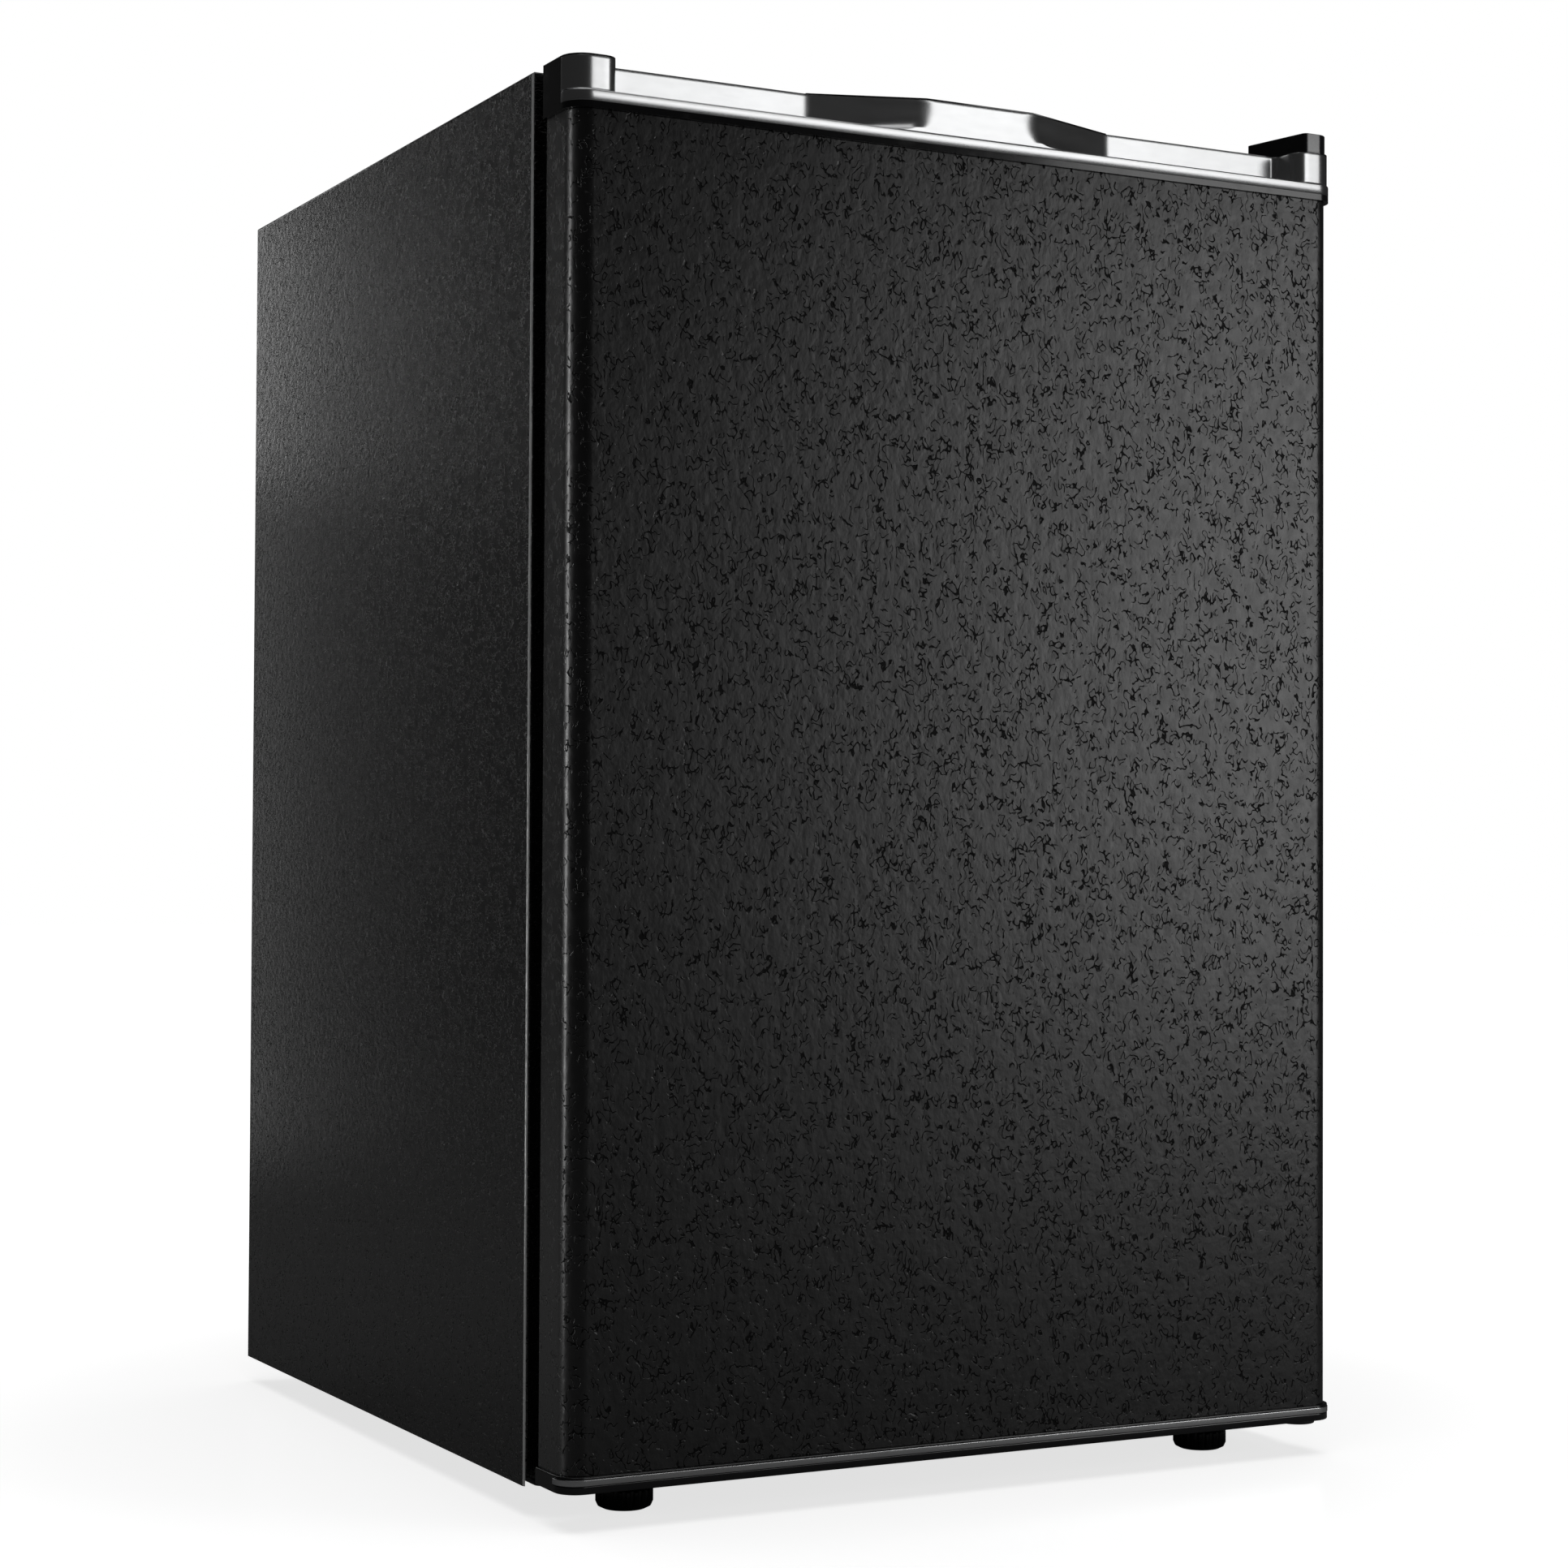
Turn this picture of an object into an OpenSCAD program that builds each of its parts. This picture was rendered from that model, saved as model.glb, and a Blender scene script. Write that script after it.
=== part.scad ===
// Single-door compact refrigerator with a free-standing cabinet.
// Frame: +Z up, the door faces -Y, the hinge is on the +X side.
// The origin is on the floor, under the middle of the whole object's box.

/* [Cabinet] */
// Width of the cabinet and of the door's end caps
cab_w = 540; // [450:2:648]
// Depth of the cabinet without its door
cab_d = 515; // [430:1:620]
// Height of the cabinet without its feet
cab_h = 820; // [680:4:984]
// Thickness of the steel sheet of shell, back and door
sheet_t = 1; // [0.8:0.1:1.4]
// Thickness of the insulated side walls and top
wall_t = 45; // [37:0.5:60]
// Thickness of the insulated back
back_t = 50; // [40:1:65]
// Thickness of the plastic liners
liner_t = 2; // [1.5:0.1:3]
// Radius of the bends of the steel shell
fold_r = 2.5; // [2:0.1:4]
// Width of the steel face that the gasket closes on
flange_w = 38; // [34:1:44]

/* [Door] */
// Gap between the cabinet and the back of the door
door_gap = 15; // [12:0.1:20]
// Depth of the door from its back to its front lip
door_t = 41; // [36:0.2:55]
// How far the steel skin lies inside the end caps
skin_inset = 2.5; // [1.5:0.5:4]
// Radius of the door's upright front corners
corner_r = 14; // [13:1:18]

/* [Handle] */
// Height of the grip wall above its shelf
grip_h = 20.5; // [17:0.1:30]
// How far the grip wall stands back behind the lip
grip_recess = 24; // [20:0.1:28]
// Width of the grip at its waist
grip_flat = 70; // [50:1:90]
// Width of the grip from foot to foot
grip_foot = 214; // [180:2:260]
// How far each side of the grip spreads down to the lip
grip_flare = 21; // [8:1:26]
// Width of the horn at each end of the handle
horn_w = 31; // [28:1:38]
// Height of the bright lip under the grip
lip_h = 6.7; // [5:0.1:10]
// Height of the dark band under the lip
band_h = 3.8; // [3:0.1:6]
// Thickness of the bright trim
trim_t = 1.6; // [1.2:0.1:2.4]

/* [Feet] */
// Height of the cabinet's lower edge above the floor
foot_h = 18; // [17:0.5:26]
// Radius of a levelling foot
foot_r = 17; // [15:0.5:20]
// Distance of each foot from the cabinet's side
foot_inset = 65; // [60:1:80]
// How far a levelling foot can be screwed out
foot_travel = 10; // [6:1:12]

/* [Inside] */
// Number of glass shelves
shelves = 3; // [2:1:3]
// Thickness of the shelf glass
glass_t = 4; // [3:0.5:5]
// Height of the compressor compartment
comp_h = 200; // [190:5:230]
// Depth of the compressor compartment
comp_d = 205; // [190:5:230]

/* [Back] */
// How far the condenser stands behind the cabinet
rear_d = 18; // [17:1:30]
// Distance between the runs of the condenser tube
run_pitch = 45; // [30:1:60]

/* [Hidden] */
$fn = 48;
// clearances: loose, on a screw's shank, and on a turning pin
play = 0.2;
screw_fit = 0.1;
run_fit = 0.05;

// planes across the depth
overall_d = door_t + door_gap + cab_d + rear_d;
y_face = -overall_d / 2;
y_door = y_face + door_t;
y_cab = y_door + door_gap;
y_back = y_cab + cab_d;
y_comp = y_back - comp_d;
y_panel = y_back - 2 * sheet_t;

// planes across the height
z_top = foot_h + cab_h;
web_t = 1.5;
bracket_t = 3;
z_web = foot_h + bracket_t + 0.5;
z_foam = z_web + web_t;
z_comp = foot_h + comp_h;
step_wall = 40;
z_step = z_comp + step_wall;
y_step = y_comp - step_wall;

// the food compartment
cav_x = cab_w / 2 - wall_t;
floor_t = 50;
cav_z0 = foot_h + floor_t;
cav_z1 = z_top - wall_t;
cav_y1 = y_back - back_t;
cav_r = 14;

// the liner's lip reaches this far behind the steel face, whatever the walls' thickness
lip_cover = 5;
lip_tuck = wall_t - flange_w + lip_cover - liner_t;

// the liner's outer planes, which the slabs of foam lie against
lin_x = cav_x + liner_t;
lin_z0 = cav_z0 - liner_t;
lin_z1 = cav_z1 + liner_t;
lin_y1 = cav_y1 + liner_t;
lin_step = z_step - liner_t;

// the door
half_w = cab_w / 2;
door_z0 = z_web + 0.7;
door_z1 = z_top - 0.5;
bottom_cap_h = 10;
skin_z0 = door_z0 + bottom_cap_h;
z_shelf = door_z1 - grip_h;
z_lip = z_shelf - lip_h;
skin_z1 = z_lip - band_h;
skin_y = y_face + 2.2;
skin_x = half_w - skin_inset;
skin_r = corner_r - 1;
skin_flange = 12;

// the strip in the bottom cap, which stands back a little from the door's outline
strip_z = door_z0 + 4.8;
strip_h = 3.5;
cap_back = 0.3;

// the hinge
pin_r = 4;
bush_r = 7;
bush_h = 14;
plug_h = 6;
pin_x = half_w - 16;
pin_y = y_door - 19;
hinge_plate_t = 2.5;
tongue_r = 7;
cover_h = 12;
cover_low_h = 6.8;
cover_t = 1.6;

// the handle
horn_y = y_face + 1.5;
horn_in = half_w - horn_w;
horn_ri = 9;
recess_y = y_face + grip_recess;
rim_t = 0.8;
trim_gap = 0.05;
waist_x = grip_flat / 2;
foot_x = grip_foot / 2;
foot_blend = 20;
recess_r = 5;
waist_h = 0.65 * grip_h;
top_spread = 2.5;
// the heights that the grip's spreading sides are worked out at
grip_levels = concat([z_shelf - 4],
    [for (a = [90 : -15 : 0]) z_shelf + waist_h * (1 - sin(a))],
    [z_shelf + (waist_h + grip_h) / 2, door_z1, door_z1 + 2]);

// gasket
seal_w = 17;
seal_x = pin_x - 1;
seal_z0 = skin_z0 + 6;
seal_z1 = z_top - 16;

// door liner, its upright ribs and its racks
rib_x1 = cav_x - 12;
rib_x0 = rib_x1 - 26;
rib_y = y_cab + 42;
rib_z0 = cav_z0 + 14;
rib_z1 = cav_z1 - 14;
rack_x = rib_x0 - 0.5;
rack_t = 2;
rack_ledge = 9;
rack_zs = [rib_z0 + 8, rib_z0 + 270, rib_z0 + 470];
rack_hs = [92, 62, 50];
rack_y1s = [y_cab + 62, y_cab + 52, y_cab + 48];

// shelves
shelf_y0 = y_cab + 86;
ledge_w = 8;
ledge_h = 5;
shelf_gap = (cav_z1 - z_step - cav_r) / (shelves + 0.15);
function shelf_z(i) = z_step + cav_r + i * shelf_gap;
shelf_trim_h = 15;
shelf_trim_d = 14;

// brackets, rail and their screws
foot_x0 = half_w - foot_inset;
wall_in = 14;
rail_d = 60;
screw_r = 2;
head_r = 4;
bracket_d = 46;
plate_side = 21;
inner_w = half_w - fold_r - play;
screw_spots = [[half_w - 30, 32], [foot_x0 + 3, 34]];
hinge_spots = [[half_w - 34, 14], [half_w - 14, 14], [half_w - 24, 38]];

// feet
foot_y = y_cab + 3;
stud_r = 4;
stud_z0 = 3;
stud_z1 = z_web + foot_travel + 3;
wheel_h = foot_h - 3;
rear_foot_y = y_back - 32;
tray_t = 2;

// thermostat housing on the right wall
box_d = 120;
box_h = 68;
box_t = 34;
box_y0 = y_cab + 120;
box_z1 = cav_z1 - 26;
box_x0 = cav_x - box_t;
knob_y = box_y0 + 34;
knob_z = box_z1 - box_h / 2;
box_wall = 2.2;
knob_r = 18;
knob_h = 13;
stem_r = 3;
lens_y0 = box_y0 + 62;
lens_y1 = box_y0 + 108;
lens_half_h = 20;

// compressor and pipes
can_x = -112;
can_y = y_back - 92;
can_r = 58;
can_z0 = z_web + tray_t + 14;
can_h = 118;
can_foot_x = 62;
can_foot_y = 46;
bolt_r = 3;
nut_r = 5.8;
tube_r = 2.5;
capillary_r = 1.2;
cond_x = half_w - 60;
bend_r = run_pitch / 2;
cond_z0 = z_comp + 50;
runs = 2 * floor((z_top - 45 - cond_z0) / run_pitch / 2);
cond_z1 = cond_z0 + runs * run_pitch;
wire_r = 0.8;
cond_y = y_back + rear_d - 2 * wire_r - tube_r;
wire_pitch = 14;
// how far the condenser's screws sit under the tube that their bracket holds
screw_drop = 18;
wires = 2 * floor((cond_x - 12) / wire_pitch) + 1;
drain_x = can_x;
drain_y = cav_y1 - 22;
drain_r = 6;
drier_x = 150;
drier_y = y_back - 60;
drier_z = z_web + 70;
evap_x = 180;
evap_z0 = z_step + 40;
evap_z1 = cav_z1 - 60;
evap_t = 1.5;
evap_gap = 8;
evap_tube_r = 3;
suction_x = 120;
suction_y = cav_y1 + liner_t + 8;
suction_r = 3;
suction_z = evap_z0 + 30;
gland_x = half_w - 70;
gland_z = z_web + tray_t + 20;
cord_r = 4;

// ---------------------------------------------------------------- helpers

module span(x, y, z) {
    translate([x[0], y[0], z[0]])
        cube([x[1] - x[0], y[1] - y[0], z[1] - z[0]]);
}

module along_x(x0, x1) {
    translate([x0, 0, 0]) rotate([90, 0, 90]) linear_extrude(x1 - x0) children();
}

module along_y(y0, y1) {
    translate([0, y1, 0]) rotate([90, 0, 0]) linear_extrude(y1 - y0) children();
}

module along_z(z0, z1) {
    translate([0, 0, z0]) linear_extrude(z1 - z0) children();
}

module rod_x(x0, x1, y, z, r) {
    translate([x0, y, z]) rotate([0, 90, 0]) cylinder(h = x1 - x0, r = r);
}

module rod_y(x, y0, y1, z, r) {
    translate([x, y0, z]) rotate([-90, 0, 0]) cylinder(h = y1 - y0, r = r);
}

module rod_z(x, y, z0, z1, r) {
    translate([x, y, z0]) cylinder(h = z1 - z0, r = r);
}

module both_sides() {
    children();
    mirror([1, 0, 0]) children();
}

// a rectangle from [x0, y0] to [x1, y1] with four round corners
module round_box(x0, x1, y0, y1, r) {
    translate([x0 + r, y0]) square([x1 - x0 - 2 * r, y1 - y0]);
    translate([x0, y0 + r]) square([x1 - x0, y1 - y0 - 2 * r]);
    for (x = [x0 + r, x1 - r], y = [y0 + r, y1 - r])
        translate([x, y]) circle(r);
}

// a plan outline with round corners at its front only
module front_round(w, y0, y1, r) {
    translate([-w + r, y0]) square([2 * (w - r), y1 - y0]);
    translate([-w, y0 + r]) square([2 * w, y1 - y0 - r]);
    for (s = [-1, 1])
        translate([s * (w - r), y0 + r]) circle(r);
}

// a plan outline from [x0, y0] to [x1, y1] with round corners at its back only
module rear_round(x0, x1, y0, y1, r) {
    translate([x0, y0]) square([x1 - x0, y1 - y0 - r]);
    translate([x0 + r, y0]) square([x1 - x0 - 2 * r, y1 - y0]);
    for (x = [x0 + r, x1 - r])
        translate([x, y1 - r]) circle(r);
}

function arc(cx, cy, r, a0, a1, n = 10) =
    [for (i = [0 : n]) let (a = a0 + (a1 - a0) * i / n) [cx + r * cos(a), cy + r * sin(a)]];

// ------------------------------------------------- smooth pipes through points

function spline(a, b, c, d, t) =
    0.5 * (2 * b + (c - a) * t + (2 * a - 5 * b + 4 * c - d) * t * t
        + (3 * b - a - 3 * c + d) * t * t * t);

function smooth(p, n) = [
    for (i = [0 : len(p) - 2], k = [0 : n - 1])
        spline(p[max(i - 1, 0)], p[i], p[i + 1], p[min(i + 2, len(p) - 1)], k / n),
    p[len(p) - 1]
];

function unit(v) = v / norm(v);

function heading(p, i) = unit(p[min(i + 1, len(p) - 1)] - p[max(i - 1, 0)]);

// side vectors carried along the path, so that the rings don't twist
function sides_of(p, i, u, acc) =
    i >= len(p) ? acc
    : let (t = heading(p, i), v = unit(u - (u * t) * t))
        sides_of(p, i + 1, v, concat(acc, [v]));

module pipe(points, r, n = 5, sides = 10) {
    p = smooth(points, n);
    t0 = heading(p, 0);
    start = abs(t0[2]) < 0.9 ? [0, 0, 1] : [1, 0, 0];
    u = sides_of(p, 0, start, []);
    rings = [for (i = [0 : len(p) - 1], k = [0 : sides - 1])
        let (t = heading(p, i), w = cross(t, u[i]), a = 360 * k / sides)
            p[i] + r * cos(a) * u[i] + r * sin(a) * w];
    last = (len(p) - 1) * sides;
    walls = [for (i = [0 : len(p) - 2], k = [0 : sides - 1], h = [0, 1])
        let (a = i * sides + k, b = i * sides + (k + 1) % sides)
            h == 0 ? [a, b + sides, b] : [a, a + sides, b + sides]];
    first_cap = [for (k = [0 : sides - 1]) k];
    last_cap = [for (k = [sides - 1 : -1 : 0]) last + k];
    polyhedron(rings, concat(walls, [first_cap], [last_cap]), convexity = 6);
}

// a solid through a stack of outlines that all have the same number of points
module skin_through(outlines, heights) {
    n = len(outlines[0]);
    last = len(outlines) - 1;
    points = [for (i = [0 : last], p = outlines[i]) [p[0], p[1], heights[i]]];
    walls = [for (i = [0 : last - 1], k = [0 : n - 1], h = [0, 1])
        let (a = i * n + k, b = i * n + (k + 1) % n)
            h == 0 ? [a, b + n, b] : [a, a + n, b + n]];
    floor_face = [for (k = [0 : n - 1]) k];
    roof_face = [for (k = [n - 1 : -1 : 0]) last * n + k];
    polyhedron(points, concat(walls, [floor_face], [roof_face]), convexity = 8);
}

// ---------------------------------------------------------------- cabinet

// the shell's outer form, shrunk by o on every wall but the open bottom
module shell_form(o) {
    r = fold_r - o;
    intersection() {
        along_z(foot_h, z_top - o)
            round_box(-half_w + o, half_w - o, y_cab + o, y_back - o, r);
        along_x(-half_w, half_w)
            round_box(y_cab + o, y_back - o, foot_h - 20, z_top - o, r);
        along_y(y_cab, y_back)
            round_box(-half_w + o, half_w - o, foot_h - 20, z_top - o, r);
    }
}

module cabinet_shell() {
    rear_flange = 14;
    color("#1c1c1d") difference() {
        shell_form(0);
        shell_form(sheet_t);
        // the front opening inside the steel face
        span([-half_w + flange_w, half_w - flange_w], [y_cab - 1, y_cab + 2 * sheet_t],
            [foot_h - 1, z_top - flange_w]);
        // the room for the brackets under the two front corners
        span([-half_w + sheet_t, half_w - sheet_t], [y_cab - 1, y_cab + 2 * sheet_t],
            [foot_h - 1, z_web + play]);
        // the rear opening
        span([-half_w + rear_flange, half_w - rear_flange],
            [y_back - 2 * sheet_t, y_back + 1], [foot_h - 1, z_top - rear_flange]);
        hinge_screw_holes();
    }
}

// the food compartment's hollow, with its step over the compressor
module compartment() {
    along_y(y_cab, y_step) round_box(-cav_x, cav_x, cav_z0, cav_z1, cav_r);
    along_y(y_cab, cav_y1) round_box(-cav_x, cav_x, z_step, cav_z1, cav_r);
}

// the room that the liner takes in the foam, from y0 back
module liner_block(y0) {
    span([-lin_x, lin_x], [y0, y_step + liner_t], [lin_z0, lin_z1]);
    span([-lin_x, lin_x], [y0, lin_y1], [lin_step, lin_z1]);
}

module liner_lip() {
    o = liner_t + lip_tuck;
    span([-cav_x - o, cav_x + o], [y_cab + sheet_t, y_cab + sheet_t + liner_t],
        [cav_z0 - o, cav_z1 + o]);
}

module inner_liner() {
    color("#f2f3f2") difference() {
        union() {
            liner_block(y_cab + sheet_t);
            liner_lip();
        }
        difference() {
            compartment();
            shelf_ledges();
        }
        rod_z(drain_x, drain_y, z_step - 5, z_step + 1, drain_r);
        suction_channel(suction_r + 1);
    }
}

module shelf_ledges() {
    for (i = [0 : shelves - 1])
        both_sides()
            span([cav_x - ledge_w, cav_x + liner_t], [shelf_y0 - 8, cav_y1 + liner_t],
                [shelf_z(i) - ledge_h, shelf_z(i)]);
}

// all the foam of the cabinet
module foam() {
    difference() {
        intersection() {
            shell_form(sheet_t);
            span([-half_w, half_w], [y_cab, y_panel], [z_foam, z_top]);
        }
        liner_block(y_cab);
        liner_lip();
        // the front of the foam stays behind the liner's lip
        span([-half_w + flange_w, half_w - flange_w], [y_cab, y_cab + sheet_t + liner_t],
            [z_foam - 1, z_top - flange_w]);
        // the compressor's compartment with its lining and its tray
        span([-half_w + wall_in, half_w - wall_in], [y_comp - sheet_t, y_back],
            [z_foam - 1, z_comp + sheet_t]);
        span([-half_w, half_w], [y_comp - sheet_t, y_back], [z_foam - 1, z_web + tray_t]);
        rod_z(drain_x, drain_y, z_comp, z_step, drain_r);
        // room for the studs and screws
        both_sides() rod_z(foot_x0, foot_y, z_foam - 1, stud_z1 + 3, stud_r + 4);
        bracket_screw_shanks(screw_r + play);
        hinge_screw_holes();
        bracket_places() rod_y(0, y_panel - 5, y_back, -screw_drop, screw_r + screw_fit);
        suction_channel(suction_r + 3);
    }
}

// the part of the foam that lies in a box: the foam is laid up as slabs
module foam_slab(x, y, z) {
    color("#e6d9a4") intersection() {
        foam();
        span(x, y, z);
    }
}

module insulation_left() {
    foam_slab([-half_w, -lin_x], [y_cab, y_back], [0, z_top]);
}

module insulation_right() {
    foam_slab([lin_x, half_w], [y_cab, y_back], [0, z_top]);
}

module insulation_top() {
    foam_slab([-lin_x, lin_x], [y_cab, y_back], [lin_z1, z_top]);
}

module insulation_back() {
    foam_slab([-lin_x, lin_x], [lin_y1, y_back], [lin_step, lin_z1]);
}

// the slab over and in front of the compressor's compartment
module insulation_step() {
    foam_slab([-lin_x, lin_x], [y_step + liner_t, y_back], [0, lin_step]);
}

module insulation_floor() {
    foam_slab([-lin_x, lin_x], [y_cab, y_step + liner_t], [0, lin_z0]);
}

// the way of the suction pipe up behind the liner and forward to the evaporator
module suction_channel(r) {
    rod_z(suction_x, suction_y, z_comp - 1, suction_z + r, r);
    rod_y(suction_x, cav_y1 - 1, suction_y, suction_z, r);
}

module back_panel() {
    color("#3a3b3c") difference() {
        span([-inner_w, inner_w], [y_panel, y_back - sheet_t],
            [z_comp + sheet_t, z_top - fold_r - play]);
        bracket_places() rod_y(0, y_panel - 1, y_back + 1, -screw_drop, screw_r + screw_fit);
    }
}

module base_pan() {
    color("#9a9c9d")
        span([-inner_w, inner_w], [y_cab + rail_d, y_comp - sheet_t], [z_web, z_foam]);
}

module front_base_rail() {
    face_x = half_w - flange_w - play;
    notch_w = stud_r + 0.4;
    color("#1c1c1d") difference() {
        union() {
            // the face that the gasket's lower side closes on
            span([-face_x, face_x], [y_cab, y_cab + sheet_t], [z_web, cav_z0 - 0.5]);
            span([-face_x, face_x], [y_cab, y_cab + 3], [z_web, z_foam]);
            span([-inner_w, inner_w], [y_cab + fold_r, y_cab + rail_d], [z_web, z_foam]);
        }
        both_sides() {
            rod_z(foot_x0, foot_y, z_web - 1, stud_z1 + 1, notch_w);
            span([foot_x0 - notch_w, foot_x0 + notch_w], [y_cab - 1, foot_y],
                [z_web - 1, stud_z1 + 1]);
        }
        bracket_screw_shanks(screw_r + screw_fit);
    }
}

module compartment_liner() {
    w = half_w - wall_in;
    color("#b9bbbc") difference() {
        union() {
            span([-w, w], [y_comp - sheet_t, y_panel], [z_comp, z_comp + sheet_t]);
            span([-w, w], [y_comp - sheet_t, y_comp], [z_web + tray_t, z_comp + sheet_t]);
        }
        rod_z(drain_x, drain_y, z_comp - 1, z_comp + 2, drain_r + play);
        rod_z(suction_x, suction_y, z_comp - 1, z_comp + 2, suction_r + 2);
    }
}

module compressor_tray() {
    lip_w = half_w - wall_in - 1;
    color("#26272a") difference() {
        union() {
            span([-inner_w, inner_w], [y_comp - sheet_t, y_back - 4], [z_web, z_web + tray_t]);
            span([-lip_w, lip_w], [y_back - 6, y_back - 4], [z_web, z_web + 38]);
        }
        compressor_feet() rod_z(0, 0, z_web - 1, z_web + tray_t + 1, bolt_r + play);
        rod_y(gland_x, y_back - 7, y_back - 3, gland_z, cord_r + 3);
        // two air slots in the rear lip
        for (x = [-60, 60])
            along_y(y_back - 7, y_back - 3) round_box(x - 40, x + 40, z_web + 14, z_web + 26, 5);
    }
}

module rear_feet() {
    color("#141414") both_sides() translate([foot_x0, rear_foot_y, 0])
        rotate_extrude()
            polygon([[0, 0], [13, 0], [15, 2], [15, 12], [12, z_web], [0, z_web]]);
}

// ---------------------------------------------------------------- front feet

module foot_stud() {
    color("#b4b6b8") rod_z(foot_x0, foot_y, stud_z0, stud_z1, stud_r);
}

module foot_wheel() {
    flutes = 22;
    side_z1 = 11;
    color("#121212") translate([foot_x0, foot_y, 0]) difference() {
        rotate_extrude()
            polygon([[0, 0], [foot_r - 4, 0], [foot_r - 1.2, 1.4], [foot_r, 4],
                [foot_r, side_z1], [foot_r - 2, side_z1 + 1.4], [foot_r - 3.5, wheel_h],
                [0, wheel_h]]);
        stud_bore();
        for (i = [0 : flutes - 1])
            rotate([0, 0, 360 * i / flutes])
                translate([foot_r + 0.7, 0, 2]) cylinder(h = 20, r = 1.7, $fn = 24);
    }
}

module stud_bore() {
    translate([0, 0, stud_z0 - 0.1]) cylinder(h = wheel_h, r = stud_r + run_fit);
}

// ---------------------------------------------------------------- hinges

module bracket_screw_shanks(r) {
    both_sides()
        for (s = screw_spots) rod_z(s[0], y_cab + s[1], foot_h - 3, z_foam + 7, r);
}

// the plate under one front corner; tongue carries the lower hinge pin
module corner_plate(tongue) {
    x0 = foot_x0 - plate_side;
    x1 = half_w - 6;
    color("#2a2b2d") difference() {
        along_z(z_web - bracket_t, z_web) {
            round_box(x0, x1, y_cab - 6, y_cab + bracket_d, 5);
            if (tongue) {
                translate([pin_x - 12, pin_y]) square([24, y_cab - pin_y]);
                translate([pin_x, pin_y]) circle(12);
            }
        }
        rod_z(foot_x0, foot_y, foot_h - 3, z_web + 1, stud_r + run_fit);
        for (s = screw_spots) rod_z(s[0], y_cab + s[1], foot_h - 3, z_web + 1, screw_r + screw_fit);
        if (tongue) rod_z(pin_x, pin_y, foot_h - 3, z_web + 1, pin_r);
    }
}

module bottom_hinge_bracket() {
    corner_plate(true);
}

module left_foot_bracket() {
    mirror([1, 0, 0]) corner_plate(false);
}

module bottom_hinge_pin() {
    color("#b4b6b8") rod_z(pin_x, pin_y, z_web - bracket_t, door_z0 + 11, pin_r);
}

module bracket_screws() {
    color("#8e9092") both_sides()
        for (s = screw_spots) {
            rod_z(s[0], y_cab + s[1], z_web - bracket_t, z_foam + 6, screw_r);
            rod_z(s[0], y_cab + s[1], z_web - bracket_t - 2, z_web - bracket_t, head_r);
        }
}

module hinge_screw_holes() {
    for (s = hinge_spots) rod_z(s[0], y_cab + s[1], z_top - 9, z_top + 1, screw_r + screw_fit);
}

module top_hinge_bracket() {
    color("#8e9092") difference() {
        along_z(z_top, z_top + hinge_plate_t) {
            round_box(half_w - 42, half_w - 6, y_cab + 5, y_cab + 48, 4);
            translate([pin_x - tongue_r, pin_y]) square([2 * tongue_r, y_cab + 10 - pin_y]);
            translate([pin_x, pin_y]) circle(tongue_r);
        }
        for (s = hinge_spots)
            rod_z(s[0], y_cab + s[1], z_top - 1, z_top + 4, screw_r + screw_fit);
        rod_z(pin_x, pin_y, z_top - 1, z_top + 4, pin_r);
    }
}

module top_hinge_pin() {
    color("#b4b6b8") rod_z(pin_x, pin_y, z_top - 13, z_top + hinge_plate_t, pin_r);
}

module top_hinge_screws() {
    z = z_top + hinge_plate_t;
    color("#8e9092") for (s = hinge_spots) {
        rod_z(s[0], y_cab + s[1], z_top - 8, z, screw_r);
        rod_z(s[0], y_cab + s[1], z, z + 2.2, 3.8);
    }
}

// the cover's high front lobe over the door's pin, shrunk by o
module cover_lobe(o) {
    x1 = half_w - 2 - o;
    y0 = horn_y + 2.3 + o;
    r = 10 - o;
    back_y = y_cab - 6;
    polygon(concat(
        [[half_w - 32.5 + o, back_y + 2], [half_w - 32.5 + o, back_y]],
        arc(half_w - 20, y0 + 3.5, 3.5 - o / 2, 200, 270, 6),
        arc(x1 - r, y0 + r, r, 270, 360, 10),
        [[x1, back_y + 2]]));
}

// the cover's low rear part over the screws, shrunk by o
module cover_foot(o) {
    x = [half_w - 46 + o, half_w - 2 - o];
    y = [y_cab - 5 + o, y_cab + 54 - o];
    round_box(x[0], x[1], y[0], y[1], 5 - o);
    translate([x[1] - 12, y[0] - 1 - 2 * o]) square([12, 12]);
}

module top_hinge_cover() {
    color("#161616") difference() {
        union() {
            along_z(z_top, z_top + cover_h) cover_lobe(0);
            along_z(z_top, z_top + cover_low_h) cover_foot(0);
        }
        along_z(z_top - 1, z_top + cover_h - cover_t) cover_lobe(cover_t);
        along_z(z_top - 1, z_top + cover_low_h - cover_t) {
            cover_foot(cover_t);
            translate([half_w - 32.5 + cover_t, y_cab - 9]) square([30.5 - 2 * cover_t, 12]);
        }
    }
}

// ---------------------------------------------------------------- cooling

module compressor_feet() {
    for (x = [-can_foot_x, can_foot_x], y = [-can_foot_y, can_foot_y])
        translate([can_x + x, can_y + y, 0]) children();
}

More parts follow.
